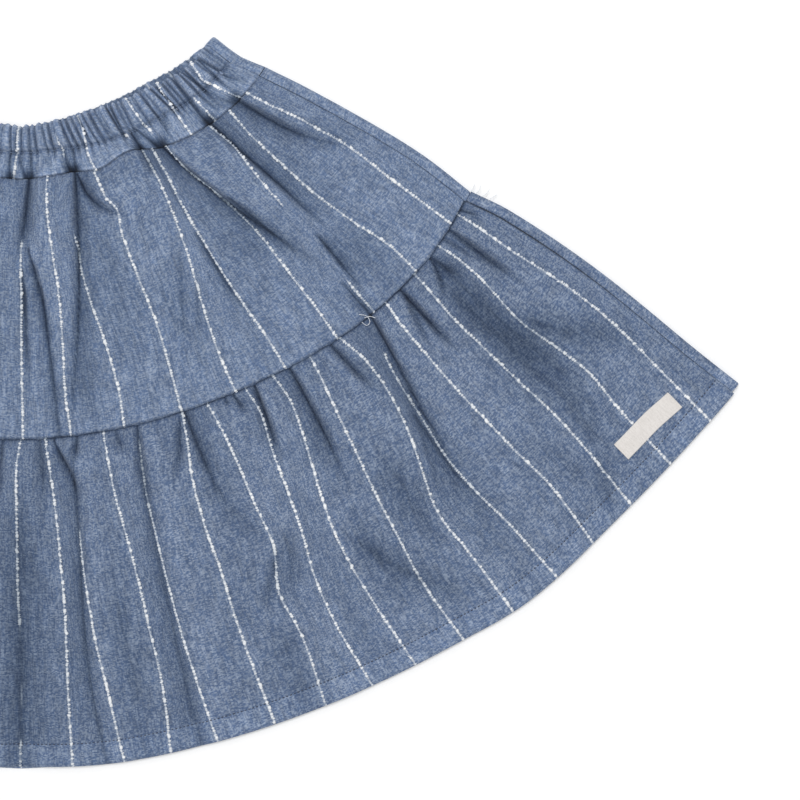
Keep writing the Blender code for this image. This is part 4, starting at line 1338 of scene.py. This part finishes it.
def bumped(tree, inputs, height, distance, strength=1.0):
    bump = link(tree, "ShaderNodeBump", {"Height": height, "Distance": distance, "Strength": strength})
    tree.links.new(bump, inputs["Normal"])


def woven_surface(tree, **values):
    """The woven cloth group on the piece's own cloth. Returns the place on the cloth and its outputs."""
    where = link(tree, "ShaderNodeUVMap", uv_map="cloth")
    named = {key.capitalize().replace("_", " "): value for key, value in values.items()}
    return where, link(tree, "ShaderNodeGroup", {"Place": where, **named}, None, node_tree=WOVEN_CLOTH)


def chambray(name, blue, thick_from=None, hem_painted_light=1.15):
    """Chambray of one piece. thick_from is the distance past which the cloth is doubled, and past it the
    colour is painted lighter, as painted light on the raised hem.
    """
    material, tree, inputs = new_material(name, sheen=0.08)
    where, woven = woven_surface(
        tree, cloth=(*blue, 1.0), weft_fleck=(0.46, 0.52, 0.60, 1.0), warp_fleck=(0.040, 0.068, 0.140, 1.0),
        fleck_strength=0.42, patchiness=0.20,
    )
    colour = woven["Color"]
    if thick_from is not None:
        _, down, _ = split_place(tree, where)
        # Painted light: the doubled hem is drawn lighter, as its raised layer catches more light.
        shade = ranged(tree, down, thick_from - 0.6 * MM, thick_from + 0.6 * MM, 1.0, hem_painted_light)
        colour = times(tree, colour, shade, shade, shade)
    woven_in = link(tree, "ShaderNodeGroup", {"Place": where}, "Mask", node_tree=PINSTRIPE)
    stripe = math_node(tree, "MULTIPLY", woven_in, read_value(tree, "striped"))
    flecked = math_node(tree, "MULTIPLY", stripe, 0.75)
    colour = tinted(tree, "MIX", flecked, colour, (0.62, 0.66, 0.72, 1.0))
    tree.links.new(shaded(tree, colour, CLOTH_SHADE), inputs["Base Color"])
    tree.links.new(woven["Roughness"], inputs["Roughness"])
    bumped(tree, inputs, math_node(tree, "MULTIPLY_ADD", stripe, 0.8, woven["Height"]), 0.10 * MM)
    return material


CHAMBRAY = {
    "waistband": chambray("chambray waistband", (0.116, 0.172, 0.290)),
    "upper_tier": chambray("chambray upper tier", (0.097, 0.148, 0.260)),
    "lower_tier": chambray("chambray lower tier", (0.077, 0.121, 0.220), LOWER_DEPTH - HEM_DEPTH),
}
for (slot, _), sheet in cloths.items():
    sheet.data.materials.append(CHAMBRAY[slot])


# %% Yarn and thread
def fibre_noise(tree, scale):
    where = link(tree, "ShaderNodeTexCoord", output="Object")
    return noise(tree, where, scale, 2.0)


def yarn_material():
    """White slub cotton, greyish blue where the yarn is thin and sinks into the weave."""
    material, tree, inputs = new_material("white slub yarn", 0.9, 0.15)
    fibres = fibre_noise(tree, 2600.0)
    fuzz = math_node(tree, "MULTIPLY_ADD", fibres, 0.8, -0.4)
    share = math_node(tree, "ADD", read_value(tree, "bead"), fuzz, clamp=True)
    colour = tinted(tree, "MIX", share, (0.30, 0.36, 0.46, 1.0), (0.80, 0.82, 0.84, 1.0))
    # Painted shade from the light kept on the yarn's points.
    tree.links.new(shaded(tree, colour, YARN_SHADE), inputs["Base Color"])
    bumped(tree, inputs, fibres, 0.1 * MM, 0.7)
    return material


def thread_material(name, light, dark):
    material, tree, inputs = new_material(name, 0.6, 0.1)
    twist = fibre_noise(tree, 1800.0)
    tree.links.new(tinted(tree, "MIX", twist, (*dark, 1.0), (*light, 1.0)), inputs["Base Color"])
    bumped(tree, inputs, twist, 0.08 * MM, 0.6)
    return material


SLUB_COTTON = yarn_material()
NAVY_THREAD = thread_material("navy thread", (0.060, 0.075, 0.125), (0.010, 0.014, 0.030))
BLUE_THREAD = thread_material("blue thread", (0.22, 0.28, 0.40), (0.09, 0.13, 0.22))
WHITE_THREAD = thread_material("loose white thread", (0.86, 0.87, 0.88), (0.55, 0.60, 0.67))
IVORY_THREAD = thread_material("ivory thread", (0.80, 0.77, 0.72), (0.55, 0.52, 0.47))
print(len(bpy.data.materials), "materials")

# %% [markdown]
# ## Laying the yarns on the cloth
#
# On the front every stripe falls on a column of the cloth's grid, because the columns were spaced
# to do so. A yarn's path is simply that column, lifted a hair along the surface's normal. On the
# back a stripe lies between two columns, and its path is read between them.

# %% Slub yarns
YARN_LIFT = 0.05 * MM
BACK_YARN_FLOOR = 0.42 * MM


def outward(points, up):
    """Unit normals of a grid of points."""
    n = np.cross(np.gradient(points, axis=1), np.gradient(points, axis=0))
    n = n / np.linalg.norm(n, axis=2, keepdims=True)
    return n if up else -n


def stripe_places(half_width):
    half = int(half_width / PITCH)
    return PITCH * np.arange(-half, half + 1)


def front_paths(laid):
    """Paths of a front piece's yarns, without their hidden stretches, and the painted light along each."""
    normals, found, painted_light_per_path = outward(laid.points, True), [], []
    for stripe in stripe_places(laid.columns[-1]):
        j = int(np.argmin(np.abs(laid.columns - stripe)))
        path = laid.points[j] + YARN_LIFT * normals[j]
        shown = laid.striped[j]
        ends = np.flatnonzero(np.diff(shown) != 0) + 1
        for part, seen, lit in zip(*(np.split(values, ends) for values in (path, shown, laid.tone[j]))):
            if seen[0] > 0.5 and len(part) > 2:
                found.append(part)
                painted_light_per_path.append(lit)
    return found, painted_light_per_path


def back_paths(laid):
    """Yarns of a back panel, which show on its outer face and round the sides."""
    normals, found = outward(laid.points, False), []
    u = laid.cloth[:, 0, 0]
    for stripe in stripe_places(u[-1]):
        j = int(np.searchsorted(u, stripe)) - 1
        if 0 <= j < len(u) - 1:
            t = (stripe - u[j]) / (u[j + 1] - u[j])
            path = mix(laid.points[j], laid.points[j + 1], t)
            path = path + YARN_LIFT * mix(normals[j], normals[j + 1], t)
            path[:, 2] = np.maximum(path[:, 2], BACK_YARN_FLOOR)
            found.append(path)
    return found, None


FRONT_YARN = {"Step": 0.42 * MM, "Thin": 0.24 * MM, "Bead": 0.90 * MM, "Wander": 2.1 * MM}
BACK_YARN = {"Step": 1.3 * MM}
trims = {key: [] for key in cloths}
for (slot, face), laid in laid_pieces.items():
    yarn_paths, painted_light_per_path = front_paths(laid) if face == "front" else back_paths(laid)
    yarn = FRONT_YARN if face == "front" else BACK_YARN
    yarns = made_by(
        SLUB_YARN, f"{slot}_yarns_{face}", yarn_paths, {**yarn, "Material": SLUB_COTTON}, painted_light_per_path
    )
    trims[slot, face].append(yarns)

# %% [markdown]
# ## Loose threads
#
# A few ends of slub yarn have come loose: a fringe at the side where the tiers meet, and a small loop on the
# tier seam. They are the same yarn, only thinner, on listed paths.

# %% Loose threads
def thread_path(spots, height):
    """A smooth path through places on the fan, in degrees and metres."""
    steps = np.linspace(0, len(spots) - 1, 12 * (len(spots) - 1) + 1)
    k = np.arange(len(spots))
    angle, radius = (curve_through(k, values, steps) for values in zip(*spots))
    return place(angle, radius, height)


SIDE_ENDS = [
    [(57.2, 0.2665), (57.9, 0.2672), (58.5, 0.2669)], [(57.3, 0.2690), (58.0, 0.2703), (58.7, 0.2698)],
    [(57.4, 0.2720), (58.1, 0.2741), (58.8, 0.2746)], [(57.5, 0.2765), (58.2, 0.2778), (58.75, 0.2792)],
]
SEAM_LOOPS = [
    [(39.6, 0.2660), (40.1, 0.2690), (40.0, 0.2722), (39.5, 0.2728), (39.3, 0.2700)],
    [(39.8, 0.2690), (40.4, 0.2705), (40.7, 0.2728)],
]
LOOSE_YARN = {
    "Step": 0.3 * MM, "Thin": 0.10 * MM, "Bead": 0.17 * MM, "Wander": 0.3 * MM, "Material": WHITE_THREAD,
}
for name, threads, height in (("side", SIDE_ENDS, 3.4 * MM), ("seam", SEAM_LOOPS, 6.4 * MM)):
    loose_paths = [thread_path(ends, height) for ends in threads]
    trims["lower_tier", "front"].append(made_by(SLUB_YARN, "loose_threads_" + name, loose_paths, LOOSE_YARN))

# %% [markdown]
# ## Stitch lines
#
# The hem is sewn in navy thread, one stitch every two millimetres, and the elastic's channel in
# blue. Each line is a row of the cloth's grid, and a second tree sets stitches along it.

# %% Stitches
def row_path(laid, at, up, lift, margin):
    """A line across the cloth at a distance below its seam."""
    normals = outward(laid.points, up)
    j = int(np.clip(np.searchsorted(laid.rows, at) - 1, 0, len(laid.rows) - 2))
    t = (at - laid.rows[j]) / (laid.rows[j + 1] - laid.rows[j])
    path = mix(laid.points[:, j], laid.points[:, j + 1], t)
    path = path + lift * mix(normals[:, j], normals[:, j + 1], t)
    return path[margin : len(path) - margin]


HEM_STITCH = {"Material": NAVY_THREAD}
BAND_STITCH = {"Material": BLUE_THREAD, "Spacing": 1.9 * MM, "Length": 1.3 * MM}
BACK_LIFT = -0.27 * MM  # the stitches sink into the underside, which lies on the table
STITCH_LINES = [
    ("lower_tier", "front", "hem", LOWER_DEPTH - HEM_DEPTH + 0.2 * MM, 0.12 * MM,
     {**HEM_STITCH, "Thread": 0.28 * MM, "Seed": 4}),
    ("lower_tier", "back", "hem", lower_back_rows[-1] - HEM_DEPTH, BACK_LIFT, {**HEM_STITCH, "Seed": 5}),
    ("waistband", "front", "waistband", CHANNEL * BAND_DEPTH, 0.05 * MM, {**BAND_STITCH, "Seed": 6}),
    ("waistband", "back", "waistband", CHANNEL * depth_of(BACK_BAND), BACK_LIFT, {**BAND_STITCH, "Seed": 7}),
]
for slot, face, name, at, lift, stitch in STITCH_LINES:
    in_front = face == "front"
    line = row_path(laid_pieces[slot, face], at, in_front, lift, 1 if in_front else 4)
    trims[slot, face].append(made_by(RUNNING_STITCH, f"{name}_stitches_{face}", [line], stitch))

# %% [markdown]
# ## The label
#
# A short woven tape is sewn flat near the side of the hem. It is draped by dropping its points
# on the cloth: a ray straight down finds the height under each of them, and the tape, being
# stiffer than the cloth, follows a softened version of it. It is left blank.

# %% The label
LABEL_LENGTH, LABEL_WIDTH = 37.5 * MM, 10.5 * MM
LABEL_CENTRE = (50.3, 0.408)
LABEL_TURN = math.radians(44.4)
LABEL_CELLS = (76, 22)
LABEL_BOW, LABEL_WAVE = 0.5 * MM, 0.12 * MM  # how far the tape strays from straight
LABEL_THICKNESS, LABEL_LIFT = 0.45 * MM, 0.62 * MM
LABEL_CROWN, LABEL_EDGE = 0.25 * MM, 0.3 * MM  # higher along the middle, lower at the selvedges
SOFTENING_PASSES = 14


def ground_under(points):
    """A function that gives the cloth's height at x and y, from its grid of points."""
    tree = BVHTree.FromPolygons(points.reshape(-1, 3).tolist(), grid_faces(points).tolist())

    def height(x, y):
        hit = tree.ray_cast(Vector((x, y, 1.0)), Vector((0, 0, -1)))
        return hit[0].z if hit[0] is not None else 0.0

    return height


cloth_height = ground_under(laid_pieces["lower_tier", "front"].points)
label_centre = place(*LABEL_CENTRE, 0.0)
long_way = np.array([math.cos(LABEL_TURN), math.sin(LABEL_TURN), 0.0])
short_way = np.array([-math.sin(LABEL_TURN), math.cos(LABEL_TURN), 0.0])
label_u = np.linspace(-0.5, 0.5, LABEL_CELLS[0] + 1)
label_v = np.linspace(0.5, -0.5, LABEL_CELLS[1] + 1)
label_points = np.zeros((len(label_u), len(label_v), 3))
for i, u in enumerate(label_u):
    bow = LABEL_BOW * (1 - (2 * u) ** 2)
    wavy = LABEL_WAVE * math.sin(9.0 * u + 1.0)
    for j, v in enumerate(label_v):
        spot = label_centre + long_way * u * LABEL_LENGTH + short_way * (v * LABEL_WIDTH + bow + wavy)
        spot[2] = cloth_height(spot[0], spot[1])
        label_points[i, j] = spot
soft_height = label_points[:, :, 2]
for _ in range(SOFTENING_PASSES):
    padded = np.pad(soft_height, 1, mode="edge")
    mean = 0.25 * (padded[:-2, 1:-1] + padded[2:, 1:-1] + padded[1:-1, :-2] + padded[1:-1, 2:])
    soft_height = np.maximum(mean, label_points[:, :, 2])
edge_round = 1.0 - smooth((0.5 - np.abs(label_v)) / 0.05)
crown = LABEL_CROWN * (1 - (2 * label_v) ** 2)
label_points[:, :, 2] = soft_height + LABEL_LIFT + crown - LABEL_EDGE * edge_round
label_cloth = cloth_places(label_u * LABEL_LENGTH, label_v * LABEL_WIDTH)
label = grid_mesh("woven_label", label_points, label_cloth, thickness=LABEL_THICKNESS)


def label_material():
    """Ivory woven tape: fine ribs across it, a firmer selvedge, a little unevenness."""
    material, tree, inputs = new_material("ivory woven tape", 0.7, 0.12)
    where, woven = woven_surface(
        tree, cloth=(0.665, 0.635, 0.612, 1.0), weft_fleck=(0.76, 0.735, 0.71, 1.0),
        warp_fleck=(0.51, 0.485, 0.46, 1.0), fleck_strength=0.26, thread_size=0.40 * MM,
        streak_length=1.2 * MM, patchiness=0.06, heather=0.06,
    )
    _, down, _ = split_place(tree, where)
    from_middle, edge = math_node(tree, "ABSOLUTE", down), 0.5 * LABEL_WIDTH
    selvedge = ranged(tree, from_middle, edge - 0.9 * MM, edge - 0.5 * MM)
    paler = math_node(tree, "MULTIPLY", selvedge, 0.35)
    colour = tinted(tree, "MIX", paler, woven["Color"], (0.75, 0.725, 0.70, 1.0))
    tree.links.new(colour, inputs["Base Color"])
    tree.links.new(woven["Roughness"], inputs["Roughness"])
    bumped(tree, inputs, math_node(tree, "MULTIPLY_ADD", selvedge, 0.8, woven["Height"]), 0.12 * MM)
    return material


label.data.materials.append(label_material())
label_lifted = label_points + 0.04 * MM * outward(label_points, True)
label_stitches = made_by(
    RUNNING_STITCH, "label_stitches", [label_lifted[i, 1:-1] for i in (2, LABEL_CELLS[0] - 2)],
    {"Material": IVORY_THREAD, "Spacing": 1.3 * MM, "Length": 0.95 * MM, "Thread": 0.16 * MM, "Seed": 9},
)

# %% [markdown]
# ## Handing the pieces to the body
#
# Each cloth piece stands for its solid, which is hidden, and the size that it was cut to is printed.
# Everything rides on the one body.

# %% Pieces, nodes and cut sizes
PUFF_LENGTH = 1.7 * MM  # cloth taken up by the puff under a seam
UPPER_LENGTH = UPPER_DEPTH + SEAM_ALLOWANCE + PUFF_LENGTH
CUTS = [  # slot, face, width and length of the flat cloth
    ("waistband", "front", 2 * BAND_HALF_CUT, BAND_DEPTH + 27.0 * MM),
    ("waistband", "back", 2 * (BAND_HALF_CUT + WRAP_EXTRA), BAND_DEPTH + 22.0 * MM),
    ("upper_tier", "front", 2 * UPPER_HALF_CUT, UPPER_LENGTH),
    ("upper_tier", "back", 2 * (UPPER_HALF_CUT + WRAP_EXTRA), UPPER_LENGTH),
    ("lower_tier", "front", 2 * LOWER_HALF_CUT, LOWER_DEPTH + HEM_TURN + 3.0 * MM),
    ("lower_tier", "back", 2 * (LOWER_HALF_CUT + WRAP_EXTRA), lower_back_rows[-1] + HEM_TURN + 1.8 * MM),
]


def hand_over(piece, node, slot, flat, with_it):
    for part in [piece, *with_it]:
        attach(part, BODY)
    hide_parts(node)
    print(piece.name, "was cut", round(flat[0] * 1000), "x", round(flat[1] * 1000), "mm")


for slot, face, width, length in CUTS:
    hand_over(
        cloths[slot, face], f"{slot}_{face}", slot, (width, length), trims[slot, face]
    )
hand_over(
    label, "label", "label", (LABEL_LENGTH, LABEL_WIDTH),
    [label_stitches],
)

# %% [markdown]
# ## Floor, light and camera
#
# The skirt is photographed from straight above on white, under broad soft light, so its folds are modelled by
# how much of the light they can see rather than by cast shadows. A pale world and one large lamp overhead do
# the same here, and painted shade in the cloth's colour deepens the folds.

# %% Floor
FLOOR_REACH, FLOOR_LEVEL = 2.5, -0.4 * MM
floor_mesh = bpy.data.meshes.new("floor")
corners = ((-1, -1), (1, -1), (1, 1), (-1, 1))
floor_points = [(x * FLOOR_REACH, y * FLOOR_REACH, FLOOR_LEVEL) for x, y in corners]
floor_mesh.from_pydata(floor_points, [], [(0, 1, 2, 3)])
floor = shown_object("floor", floor_mesh)
floor_material, _, floor_inputs = new_material("white floor", 0.95)
floor_inputs["Base Color"].default_value = (0.93, 0.93, 0.93, 1.0)
floor_mesh.materials.append(floor_material)

# %% Light
WORLD_LIGHT, LAMP_POWER, LAMP_SIZE = 0.62, 22.0, 0.8
LAMP_PLACE, LAMP_AIM = Vector((0.05, 0.35, 1.9)), Vector((0.15, 0.0, 0.0))
world = bpy.data.worlds.new("soft room")
world.use_nodes = True
background = world.node_tree.nodes["Background"].inputs
background["Color"].default_value = (1.0, 1.0, 1.0, 1.0)
background["Strength"].default_value = WORLD_LIGHT
bpy.context.scene.world = world
light = bpy.data.lights.new("overhead lamp", "AREA")
light.shape = "DISK"
light.size = LAMP_SIZE
light.energy = LAMP_POWER
lamp = shown_object("overhead lamp", light)
lamp.location = LAMP_PLACE
lamp.rotation_euler = (LAMP_AIM - LAMP_PLACE).to_track_quat("-Z", "Y").to_euler()
bpy.context.scene.view_settings.view_transform = "Standard"
bpy.context.scene.view_settings.look = "None"

# %% Camera
CAMERA_CENTRE = (0.190, 0.0021)
FIELD = 0.400
LENS, SENSOR = 85.0, 36.0
CLOTH_LEVEL = 4.0 * MM
camera_data = bpy.data.cameras.new("from above")
camera_data.lens = LENS
camera_data.sensor_width = SENSOR
camera_data.sensor_fit = "HORIZONTAL"
camera = shown_object("from above", camera_data)
camera.location = (*CAMERA_CENTRE, CLOTH_LEVEL + FIELD * LENS / SENSOR)
bpy.context.scene.camera = camera
print("camera", round(camera.location.z, 3), "m above the table")
